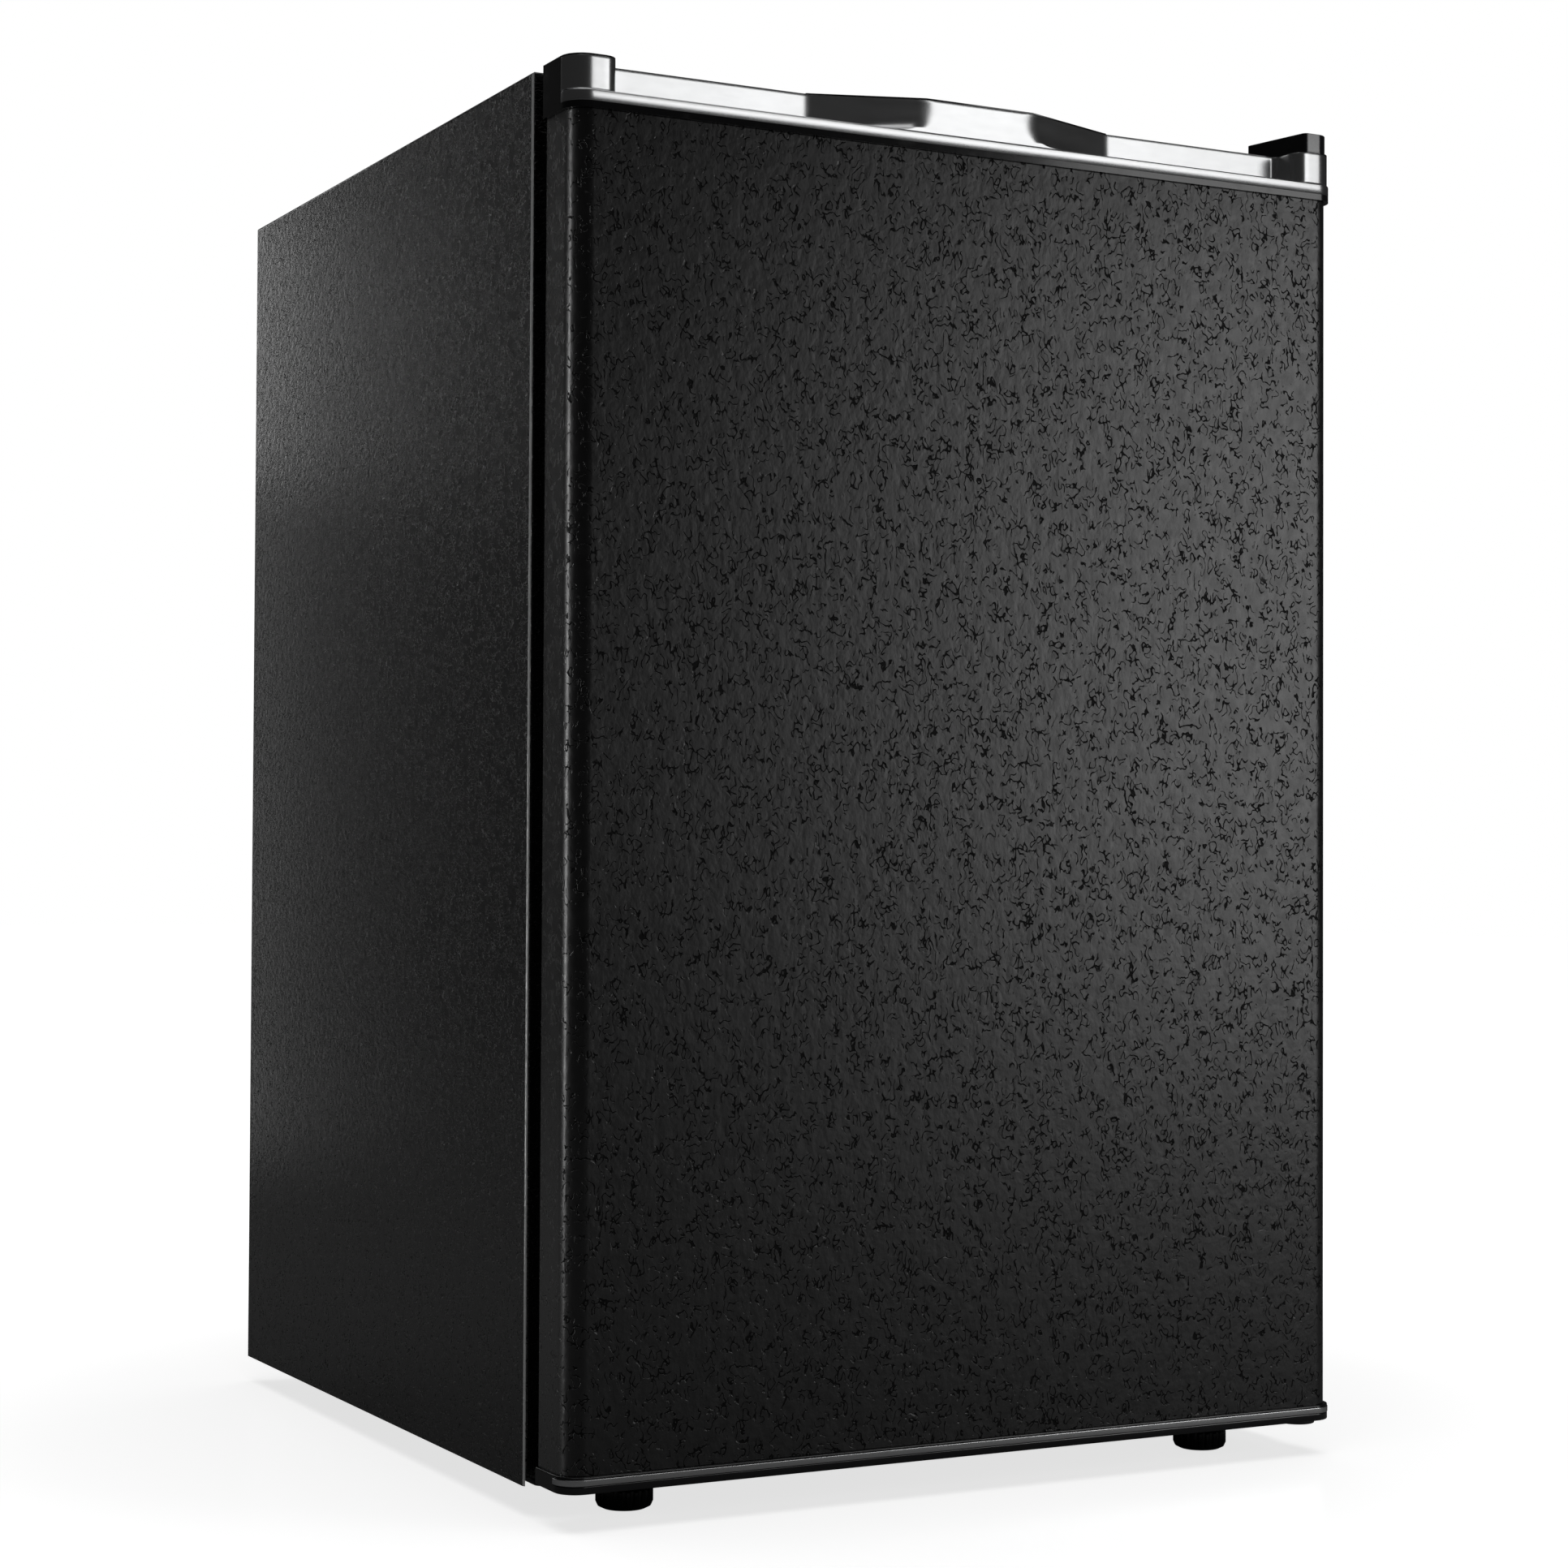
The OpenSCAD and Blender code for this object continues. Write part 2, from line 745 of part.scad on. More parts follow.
module compressor() {
    seam = can_z0 + 62;
    color("#17181a") difference() {
        union() {
            translate([can_x, can_y, 0]) rotate_extrude()
                polygon(concat(
                    [[0, can_z0 + 4], [can_r - 22, can_z0 + 4]],
                    arc(can_r - 24, can_z0 + 26, 22, -85, 0),
                    [[can_r - 2, seam - 4], [can_r + 3, seam - 3], [can_r + 3, seam + 3],
                        [can_r, seam + 4]],
                    arc(can_r - 30, can_z0 + can_h - 34, 30, 0, 84),
                    [[0, can_z0 + can_h]]));
            along_z(can_z0, can_z0 + 4.5)
                round_box(can_x - 74, can_x + 74, can_y - 56, can_y + 56, 10);
        }
        compressor_feet() rod_z(0, 0, can_z0 - 1, can_z0 + 6, 8);
    }
}

module compressor_grommets() {
    z0 = z_web + tray_t;
    color("#202020") compressor_feet() difference() {
        rotate_extrude()
            polygon([[0, z0], [11, z0], [12, z0 + 6], [11, can_z0], [8 - 0.05, can_z0],
                [8 - 0.05, can_z0 + 4.5], [10.5, can_z0 + 4.5], [9.5, can_z0 + 8], [0, can_z0 + 8]]);
        cylinder(h = 400, r = bolt_r + play);
    }
}

module compressor_bolts() {
    color("#a5a7a9") compressor_feet() {
        rod_z(0, 0, z_web - 4, can_z0 + 12, bolt_r);
        translate([0, 0, can_z0 + 8]) cylinder(h = 5, r = nut_r, $fn = 6);
        translate([0, 0, z_web - 4]) cylinder(h = 4, r = nut_r, $fn = 6);
    }
}

module terminal_cover() {
    x0 = can_x + can_r + 3.4;
    color("#232323")
        along_z(can_z0 + 36, can_z0 + 92)
            round_box(x0, x0 + 30, can_y - 30, can_y + 30, 5);
}

module filter_drier() {
    color("#b87b4e") translate([drier_x, drier_y, drier_z]) rotate([0, 90, 0])
        rotate_extrude()
            polygon([[0, -62], [2.6, -62], [2.6, -52], [9, -42], [9, 42], [2.6, 52],
                [2.6, 60], [0, 60]]);
}

module discharge_pipe() {
    top = cond_z0;
    color("#b87b4e") pipe([
        [can_x + 20, can_y + can_r + 3.4, can_z0 + 30],
        [can_x + 20, can_y + can_r + 14, can_z0 + 30],
        [can_x + 26, y_back - 12, can_z0 + 40],
        [can_x + 60, y_back - 8, can_z0 + 90],
        [can_x - 20, y_back - 4, z_comp - 28],
        [-cond_x + 30, y_back + 6, z_comp - 8],
        [-cond_x + 2, cond_y - 1, z_comp + 14],
        [-cond_x + 2, cond_y, top - 16],
        [-cond_x + 2, cond_y, top - tube_r - 0.3]
    ], tube_r);
}

module suction_pipe() {
    turn = 25;
    out = [sin(turn), -cos(turn), 0];
    can = [can_x, can_y, can_z0 + 76];
    color("#b87b4e") pipe([
        can + (can_r + 0.8) * out,
        can + (can_r + 14) * out,
        [can_x + 70, can_y - can_r - 20, can_z0 + 92],
        [0, can_y - can_r - 14, can_z0 + 102],
        [60, can_y - can_r + 20, can_z0 + 104],
        [suction_x - 14, suction_y - 8, can_z0 + 112],
        [suction_x, suction_y, z_comp - 36],
        [suction_x, suction_y, z_comp - 14],
        [suction_x, suction_y, z_comp + 40],
        [suction_x, suction_y, suction_z - 24],
        [suction_x, suction_y - 1.5, suction_z - 8],
        [suction_x, cav_y1 + 2, suction_z],
        [suction_x, cav_y1 - evap_gap + evap_t + evap_tube_r, suction_z]
    ], suction_r);
}

module capillary_pipe() {
    turns = 3;
    coil_r = 26;
    cx = drier_x - 122;
    cz = drier_z + 34;
    coil = [for (i = [0 : turns * 8])
        let (a = 45 * i - 90) [cx + coil_r * cos(a), drier_y + 1.2 * i / 2, cz + coil_r * sin(a)]];
    color("#b87b4e") pipe(concat(
        [[drier_x - 62.3, drier_y, drier_z], [drier_x - 74, drier_y, drier_z]],
        coil,
        [[cx + 40, drier_y + 14, cz + 6], [suction_x - 40, y_back - 40, z_comp - 50],
            [suction_x - 8, suction_y - 1, z_comp - 24]]
    ), capillary_r, 3, 8);
}

module condenser_tube() {
    color("#17181a") {
        for (i = [0 : runs])
            rod_x(-cond_x, cond_x, cond_y, cond_z0 + i * run_pitch, tube_r);
        for (i = [0 : runs - 1])
            translate([(i % 2 == 0 ? 1 : -1) * cond_x, cond_y, cond_z0 + (i + 0.5) * run_pitch])
                rotate([90, i % 2 == 0 ? 90 : -90, 0])
                    rotate_extrude(angle = 180) translate([bend_r, 0]) circle(tube_r);
    }
}

module condenser_wires() {
    color("#17181a") for (i = [0 : wires - 1])
        rod_z((i - (wires - 1) / 2) * wire_pitch, cond_y + tube_r + wire_r,
            cond_z0 - 12, cond_z1 + 12, wire_r);
}

// the four places where the condenser is held to the back panel
module bracket_places() {
    for (x = [-cond_x + 34, cond_x - 34], i = [1, runs - 1])
        translate([x, 0, cond_z0 + i * run_pitch]) children();
}

module condenser_brackets() {
    color("#202020") bracket_places() difference() {
        union() {
            span([-9, 9], [y_back - sheet_t, y_back + 2], [-26, 10]);
            span([-9, 9], [y_back + 2, cond_y - tube_r], [-6, 6]);
        }
        rod_y(0, y_panel, y_back + 4, -screw_drop, screw_r + screw_fit);
    }
}

module condenser_screws() {
    color("#8e9092") bracket_places() translate([0, 0, -screw_drop]) {
        rod_y(0, y_panel - 4, y_back + 2, 0, screw_r);
        rod_y(0, y_back + 2, y_back + 4, 0, head_r);
    }
}

module drain_tray() {
    z0 = can_z0 + can_h + 0.3;
    x = [can_x - 76, can_x + 76];
    y = [can_y - 52, can_y + 52];
    h = 22;
    color("#2b2c2e") difference() {
        along_z(z0, z0 + h) round_box(x[0], x[1], y[0], y[1], 12);
        along_z(z0 + 2, z0 + h + 1) round_box(x[0] + 2, x[1] - 2, y[0] + 2, y[1] - 2, 10);
    }
}

module drain_pipe() {
    color("#e9e9e6") difference() {
        rod_z(drain_x, drain_y, z_comp - 14, z_step, drain_r - 0.05);
        rod_z(drain_x, drain_y, z_comp - 15, z_step + 1, drain_r - 1.6);
    }
}

module cord_gland() {
    color("#101010") difference() {
        union() {
            rod_y(gland_x, y_back - 10, y_back + 3, gland_z, cord_r + 3 - 0.05);
            rod_y(gland_x, y_back - 4, y_back, gland_z, cord_r + 6);
            rod_y(gland_x, y_back - 10, y_back - 6, gland_z, cord_r + 5);
        }
        rod_y(gland_x, y_back - 11, y_back + 4, gland_z, cord_r);
    }
}

module evaporator_plate() {
    y0 = cav_y1 - evap_gap;
    rows = 6;
    pitch = (evap_z1 - evap_z0 - 60) / rows;
    color("#c9ccd0") difference() {
        union() {
            span([-evap_x, evap_x], [y0, y0 + evap_t], [evap_z0, evap_z1]);
            for (i = [0 : rows])
                rod_x(-evap_x + 40, suction_x - 8, y0 + evap_t + evap_tube_r,
                    evap_z0 + 30 + i * pitch, evap_tube_r + 0.1);
            // the pegs that hold the plate off the liner
            for (x = [-evap_x + 16, evap_x - 16], z = [evap_z0 + 16, evap_z1 - 16])
                rod_y(x, y0 + evap_t / 2, cav_y1, z, 5);
        }
        for (x = [-evap_x + 16, evap_x - 16], z = [evap_z0 + 16, evap_z1 - 16])
            rod_y(x, y0 - 1, y0 + 2, z, 2);
    }
}

// ---------------------------------------------------------------- inside

module housing_form(o) {
    along_x(box_x0 + o, cav_x)
        round_box(box_y0 + o, box_y0 + box_d - o, box_z1 - box_h + o, box_z1 - o, 8 - o);
}

module lens_place(o) {
    along_x(box_x0 - 1, box_x0 + 3)
        round_box(lens_y0 - o, lens_y1 + o, knob_z - lens_half_h - o, knob_z + lens_half_h + o, 5 + o);
}

module thermostat_housing() {
    color("#eceded") difference() {
        housing_form(0);
        housing_form(box_wall);
        rod_x(box_x0 - 1, box_x0 + 3, knob_y, knob_z, stem_r + 0.5);
        lens_place(0.1);
    }
}

module thermostat() {
    color("#d5d0c0") {
        x0 = box_x0 + box_wall + play;
        span([x0, x0 + 23.6], [knob_y - 17, knob_y + 17], [knob_z - 20, knob_z + 20]);
        rod_x(box_x0 - knob_h + 3, x0, knob_y, knob_z, stem_r);
    }
}

module thermostat_knob() {
    x1 = box_x0 - 0.5;
    grips = 24;
    color("#f4f4f4") difference() {
        translate([x1, knob_y, knob_z]) rotate([0, -90, 0]) rotate_extrude()
            polygon([[0, 0], [knob_r, 0], [knob_r, 3], [knob_r - 3, 4],
                [knob_r - 4, knob_h - 1.5], [knob_r - 5.5, knob_h], [0, knob_h]]);
        for (i = [0 : grips - 1])
            translate([x1 - knob_h - 1, knob_y, knob_z]) rotate([360 * i / grips, 0, 0])
                translate([0, 0, knob_r - 2.9]) rotate([0, 90, 0])
                    cylinder(h = knob_h - 3.5, r = 1, $fn = 16);
        rod_x(box_x0 - knob_h + 2.9, box_x0, knob_y, knob_z, stem_r + run_fit);
        // the pointer groove
        span([x1 - knob_h - 1, x1 - knob_h + 0.8], [knob_y - 0.9, knob_y + 0.9],
            [knob_z + 4, knob_z + knob_r - 5]);
    }
}

module light_lens() {
    color("#fbfbf4") intersection() {
        lens_place(0);
        span([box_x0 - 1, box_x0 + box_wall], [y_cab, y_back], [0, z_top]);
    }
}

module shelf_glass() {
    x = cav_x - 1.5;
    color("#cfe3df", 0.4) for (i = [0 : shelves - 1])
        span([-x, x], [shelf_y0, cav_y1 - evap_gap - 4], [shelf_z(i), shelf_z(i) + glass_t]);
}

module shelf_trims() {
    x = cav_x - 1.5;
    top = glass_t + 4;
    color("#f2f3f2") for (i = [0 : shelves - 1]) translate([0, 0, shelf_z(i)]) difference() {
        union() {
            span([-x, x], [shelf_y0 - 4, shelf_y0 + shelf_trim_d], [0, top]);
            span([-x + ledge_w + 1, x - ledge_w - 1], [shelf_y0 - 4, shelf_y0 + shelf_trim_d - 6],
                [top - shelf_trim_h, 0]);
        }
        span([-x - 1, x + 1], [shelf_y0, shelf_y0 + shelf_trim_d + 1], [-screw_fit, glass_t]);
    }
}

// ---------------------------------------------------------------- door

module skin_plan(o) {
    front_round(skin_x - o, skin_y + o, y_door - o, skin_r - o);
}

module door_skin() {
    color("#1d1d1e") difference() {
        along_z(skin_z0, skin_z1) skin_plan(0);
        along_z(skin_z0 - 1, skin_z1 + 1) skin_plan(sheet_t);
        span([-skin_x + skin_flange, skin_x - skin_flange],
            [y_door - 2 * sheet_t, y_door + 1], [skin_z0 - 1, skin_z1 + 1]);
    }
}

// one upright rib of the door's liner, shrunk by o
module door_rib(o, y0) {
    along_z(rib_z0 + o, rib_z1 - o)
        rear_round(rib_x0 + o, rib_x1 - o, y0, rib_y - o, 6 - o);
}

module door_liner() {
    w = skin_x - skin_flange;
    color("#f2f3f2") difference() {
        union() {
            span([-w, w], [y_door - liner_t, y_door], [skin_z0, skin_z1]);
            both_sides() {
                door_rib(0, y_door - liner_t);
                // the ledges that the racks stand on
                for (z = rack_zs)
                    span([rib_x0 - rack_ledge, rib_x0 + 1], [y_door - liner_t, rib_y - 8],
                        [z - 6, z]);
            }
        }
        both_sides() door_rib(liner_t, y_door - 12);
    }
}

module door_insulation() {
    w = skin_x - skin_flange;
    color("#e6d9a4") difference() {
        union() {
            difference() {
                along_z(skin_z0, skin_z1) skin_plan(sheet_t);
                span([-w, w], [y_door - liner_t, y_door + 1], [skin_z0 - 1, skin_z1 + 1]);
            }
            both_sides() door_rib(liner_t, y_door - 12);
        }
        rod_z(pin_x, pin_y, skin_z0 - 1, door_z0 + bush_h + 1, bush_r);
    }
}

// half the width of the grip's front at height z: a waist that spreads down to the lip
function grip_w(z) =
    let (h = z - z_shelf)
        h < waist_h
            ? waist_x + grip_flare * (1 - sqrt(max(0, 1 - pow(1 - max(h, 0) / waist_h, 2))))
            : waist_x + top_spread * pow((h - waist_h) / (grip_h - waist_h), 2);

// half of the handle's plan at height z, shrunk by o: the grip, its recess and the horn
function handle_half(z, o) =
    let (w = grip_w(z), slope = atan2(recess_y - y_face, foot_x - w),
        t = foot_blend * tan(slope / 2))
        concat(
            [[w - o * tan(slope / 2), y_face + o]],
            arc(foot_x + t, recess_y - foot_blend, foot_blend + o, 90 + slope, 90, 5),
            arc(horn_in - recess_r, recess_y - recess_r, recess_r + o, 90, 0, 6),
            arc(horn_in + horn_ri, horn_y + horn_ri, horn_ri - o, 180, 270, 9),
            arc(half_w - corner_r, horn_y + corner_r, corner_r - o, 270, 360, 12),
            [[half_w - o, y_door + 2]]);

function handle_plan(z, o) =
    let (right = handle_half(z, o), n = len(right))
        concat(right, [for (i = [n - 1 : -1 : 0]) [-right[i][0], right[i][1]]]);

// the block behind the handle's wall from z0 to z1, shrunk by o
module handle_form(o, z0, z1, back = y_door) {
    intersection() {
        skin_through([for (z = grip_levels) handle_plan(z, o)], grip_levels);
        span([-half_w - 1, half_w + 1], [y_face - 1, back], [z0, z1]);
    }
}

// the door's two sides behind the ends of the bright trim, o further back
module behind_trim(o) {
    both_sides() span([half_w - trim_t - play, half_w + 1], [horn_y + corner_r + o, y_door + 1],
        [z_lip - 1, z_top + 1]);
}

// the dark edge along the top of the grip and of the horns
module top_rim(o) {
    z = [door_z1 - rim_t - o, door_z1 + 1];
    y = [y_face - 1, y_door + 1];
    span([-foot_x - o, foot_x + o], y, z);
    both_sides() span([horn_in - 2 - o, half_w + 1], y, z);
}

module lip_plan(o, back = y_door) {
    front_round(half_w - o, y_face + o, back, corner_r - o);
}

module handle_trim() {
    color("#d9dadb") difference() {
        union() {
            handle_form(0, z_shelf - trim_t, door_z1);
            along_z(z_lip, z_shelf) lip_plan(0);
        }
        handle_form(trim_t, z_shelf - 3, door_z1 + 1, y_door + 1);
        along_z(z_lip - 1, z_shelf - trim_t) lip_plan(trim_t, y_door + 1);
        behind_trim(0);
        top_rim(0);
    }
}

module door_top_cap() {
    o = trim_t + trim_gap;
    color("#161616") difference() {
        union() {
            along_z(skin_z1, z_lip - trim_gap) lip_plan(0);
            along_z(z_lip - 1, z_shelf - trim_t - trim_gap) lip_plan(o);
            handle_form(o, z_shelf - trim_t - 1, door_z1);
            // behind the bright trim's ends the cap comes out to the full width
            intersection() {
                union() {
                    along_z(z_lip - 1, z_shelf) lip_plan(0);
                    handle_form(0, z_shelf - 1, door_z1);
                }
                behind_trim(trim_gap);
            }
            intersection() {
                handle_form(0, door_z1 - rim_t + trim_gap, door_z1);
                top_rim(-trim_gap);
            }
        }
        finger_pocket();
        both_sides() rod_z(pin_x, pin_y, door_z1 - bush_h, z_top, bush_r);
    }
}

// the hollow behind the grip, open at the top, where the fingers go
module finger_pocket() {
    wall = trim_t + 2.6;
    intersection() {
        handle_form(wall, z_shelf + 3, door_z1 + 1);
        span([-foot_x + 8, foot_x - 8], [y_face, y_door - 4], [z_shelf, z_top + 2]);
    }
}

// the strip round the foot of the door, from the plan shrunk by o inwards
module strip_form(o) {
    difference() {
        along_z(strip_z, strip_z + strip_h) lip_plan(o);
        along_z(strip_z - 1, strip_z + strip_h + 1) lip_plan(cap_back + trim_t, y_door + 1);
        span([-half_w - 1, half_w + 1], [horn_y + corner_r, y_door + 1], [0, z_top]);
    }
}

module door_bottom_cap() {
    color("#161616") difference() {
        along_z(door_z0, skin_z0) lip_plan(cap_back);
        strip_form(-1);
        rod_z(pin_x, pin_y, door_z0 - 1, skin_z0 + 1, bush_r);
        mirror([1, 0, 0]) rod_z(pin_x, pin_y, door_z0 - 1, door_z0 + plug_h, bush_r);
    }
}

module bottom_trim() {
    color("#c9cacb") strip_form(0);
}

// a flat ring of the gasket, o inside its outer edge and w wide
module seal_ring(o, w) {
    difference() {
        round_box(-seal_x + o, seal_x - o, seal_z0 + o, seal_z1 - o, 6);
        round_box(-seal_x + o + w, seal_x - o - w, seal_z0 + o + w, seal_z1 - o - w, 3);
    }
}

module door_gasket() {
    y1 = y_cab - play;
    color("#1a1a1a") difference() {
        union() {
            along_y(y_door, y_door + 3) seal_ring(0, seal_w);
            along_y(y_door + 2, y1 - 4) seal_ring(4, seal_w - 8);
            along_y(y1 - 5.5, y1) seal_ring(1, seal_w - 2);
        }
        magnet_ring(0);
    }
}

module magnet_ring(o) {
    y1 = y_cab - play;
    along_y(y1 - 4.4 + o, y1 - 1.2 - o) seal_ring(seal_w - 10 + o, 9 - o);
}

module gasket_magnet() {
    color("#4a3a30") magnet_ring(0);
}

// a rack that hangs between the door's ribs
module door_rack(i) {
    z = [rack_zs[i], rack_zs[i] + rack_hs[i]];
    y = [y_door + 0.2, rack_y1s[i]];
    color("#e8eceb", 0.8) difference() {
        along_z(z[0], z[1]) round_box(-rack_x, rack_x, y[0], y[1], 5);
        along_z(z[0] + rack_t, z[1] + 1)
            round_box(-rack_x + rack_t, rack_x - rack_t, y[0] + rack_t, y[1] - rack_t, 3.5);
        // a low window along the front wall under its top rail
        span([-rack_x + 18, rack_x - 18], [y[1] - rack_t - 1, y[1] + 1],
            [z[0] + rack_hs[i] * 0.55, z[1] - 8]);
    }
}

module bush(z0, z1) {
    difference() {
        rod_z(pin_x, pin_y, z0, z1, bush_r - 0.02);
        rod_z(pin_x, pin_y, z0 - 1, z1 + 1, pin_r + run_fit);
    }
}

module hinge_bushes() {
    color("#c9c9c4") {
        bush(door_z1 - bush_h, door_z1);
        bush(z_web + 0.1, door_z0 + bush_h);
    }
}

module hinge_hole_plug() {
    color("#161616") mirror([1, 0, 0]) rod_z(pin_x, pin_y, door_z1 - plug_h, door_z1, bush_r - 0.02);
}

// ---------------------------------------------------------------- output

cabinet_shell();
insulation_left();
insulation_right();
insulation_top();
insulation_back();
insulation_step();
insulation_floor();
inner_liner();
back_panel();
base_pan();
front_base_rail();
compartment_liner();
compressor_tray();
top_hinge_bracket();
top_hinge_pin();
top_hinge_screws();
top_hinge_cover();
bottom_hinge_bracket();
bottom_hinge_pin();
left_foot_bracket();
bracket_screws();
mirror([1, 0, 0]) foot_stud();  // front_left_foot_stud
mirror([1, 0, 0]) foot_wheel();  // front_left_foot_wheel
foot_stud();  // front_right_foot_stud
foot_wheel();  // front_right_foot_wheel
rear_feet();
compressor();
compressor_grommets();
compressor_bolts();
terminal_cover();
filter_drier();
discharge_pipe();
suction_pipe();
capillary_pipe();
condenser_tube();
condenser_wires();
condenser_brackets();
condenser_screws();
drain_tray();
drain_pipe();
cord_gland();
evaporator_plate();
thermostat_housing();
thermostat();
thermostat_knob();
light_lens();
shelf_glass();
shelf_trims();
door_skin();
door_insulation();
door_liner();
door_top_cap();
handle_trim();
door_bottom_cap();
bottom_trim();
door_gasket();
gasket_magnet();
door_rack(2);  // upper_door_rack
door_rack(1);  // middle_door_rack
door_rack(0);  // lower_door_rack
hinge_bushes();
hinge_hole_plug();
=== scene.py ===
"""Looks of the compact refrigerator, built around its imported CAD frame. Metres, in the CAD's frame."""

import math

import bpy
import bmesh
from mathutils import Matrix, Vector


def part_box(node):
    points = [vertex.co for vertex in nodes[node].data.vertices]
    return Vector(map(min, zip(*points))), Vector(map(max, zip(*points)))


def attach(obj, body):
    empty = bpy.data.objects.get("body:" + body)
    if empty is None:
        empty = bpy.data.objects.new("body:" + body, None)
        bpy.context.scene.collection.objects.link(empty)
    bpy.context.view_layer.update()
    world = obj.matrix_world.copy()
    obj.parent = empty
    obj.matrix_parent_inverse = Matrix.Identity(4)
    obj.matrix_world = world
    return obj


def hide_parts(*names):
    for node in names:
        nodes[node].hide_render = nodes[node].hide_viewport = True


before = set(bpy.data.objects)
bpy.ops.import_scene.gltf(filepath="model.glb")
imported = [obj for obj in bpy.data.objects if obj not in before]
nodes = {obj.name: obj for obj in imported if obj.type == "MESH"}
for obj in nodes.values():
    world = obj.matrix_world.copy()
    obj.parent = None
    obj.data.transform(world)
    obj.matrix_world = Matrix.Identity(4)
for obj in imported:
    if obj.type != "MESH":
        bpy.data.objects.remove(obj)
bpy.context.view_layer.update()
MM = 0.001
scene = bpy.context.scene


# ---------------------------------------------------------------- node helpers

class Shader:
    """One node material under construction, with short calls for the nodes that it uses."""

    def __init__(self, name):
        self.mat = bpy.data.materials.new(name)
        self.mat.use_nodes = True
        self.tree = self.mat.node_tree
        self.bsdf = next(n for n in self.tree.nodes if n.type == "BSDF_PRINCIPLED")
        self.place = self.tree.nodes.new("ShaderNodeTexCoord").outputs["Object"]

    def link(self, value, socket):
        if isinstance(value, bpy.types.NodeSocket):
            self.tree.links.new(value, socket)
        else:
            socket.default_value = value

    def put(self, **values):
        for name, value in values.items():
            self.link(value, self.bsdf.inputs[name.replace("_", " ")])

    def stretched(self, x, y, z):
        node = self.tree.nodes.new("ShaderNodeMapping")
        self.link(self.place, node.inputs["Vector"])
        node.inputs["Scale"].default_value = (x, y, z)
        return node.outputs["Vector"]

    def noise(self, scale, detail=2.0, rough=0.5, warp=0.0, at=None):
        node = self.tree.nodes.new("ShaderNodeTexNoise")
        self.link(at or self.place, node.inputs["Vector"])
        for name, value in zip(("Scale", "Detail", "Roughness", "Distortion"), (scale, detail, rough, warp)):
            node.inputs[name].default_value = value
        return node.outputs["Fac"]

    def cells(self, scale, output="Distance"):
        node = self.tree.nodes.new("ShaderNodeTexVoronoi")
        self.link(self.place, node.inputs["Vector"])
        node.inputs["Scale"].default_value = scale
        return node.outputs[output]

    def math(self, how, a, b=0.0, c=0.0):
        node = self.tree.nodes.new("ShaderNodeMath")
        node.operation = how
        for value, socket in zip((a, b, c), node.inputs):
            self.link(value, socket)
        return node.outputs[0]

    def ramp(self, value, low, high, a=0.0, b=1.0, kind="SMOOTHSTEP"):
        node = self.tree.nodes.new("ShaderNodeMapRange")
        node.interpolation_type = kind
        self.link(value, node.inputs["Value"])
        for name, number in (("From Min", low), ("From Max", high), ("To Min", a), ("To Max", b)):
            node.inputs[name].default_value = number
        return node.outputs["Result"]

    def mix(self, factor, a, b):
        node = self.tree.nodes.new("ShaderNodeMix")
        node.data_type = "RGBA"
        self.link(factor, node.inputs[0])
        for value, socket in ((a, node.inputs[6]), (b, node.inputs[7])):
            self.link(value if isinstance(value, bpy.types.NodeSocket) else (*value, 1.0), socket)
        return node.outputs[2]

    def bump(self, height, depth):
        node = self.tree.nodes.new("ShaderNodeBump")
        node.inputs["Strength"].default_value = 1.0
        node.inputs["Distance"].default_value = depth
        self.link(height, node.inputs["Height"])
        self.link(node.outputs["Normal"], self.bsdf.inputs["Normal"])


# ---------------------------------------------------------------- materials

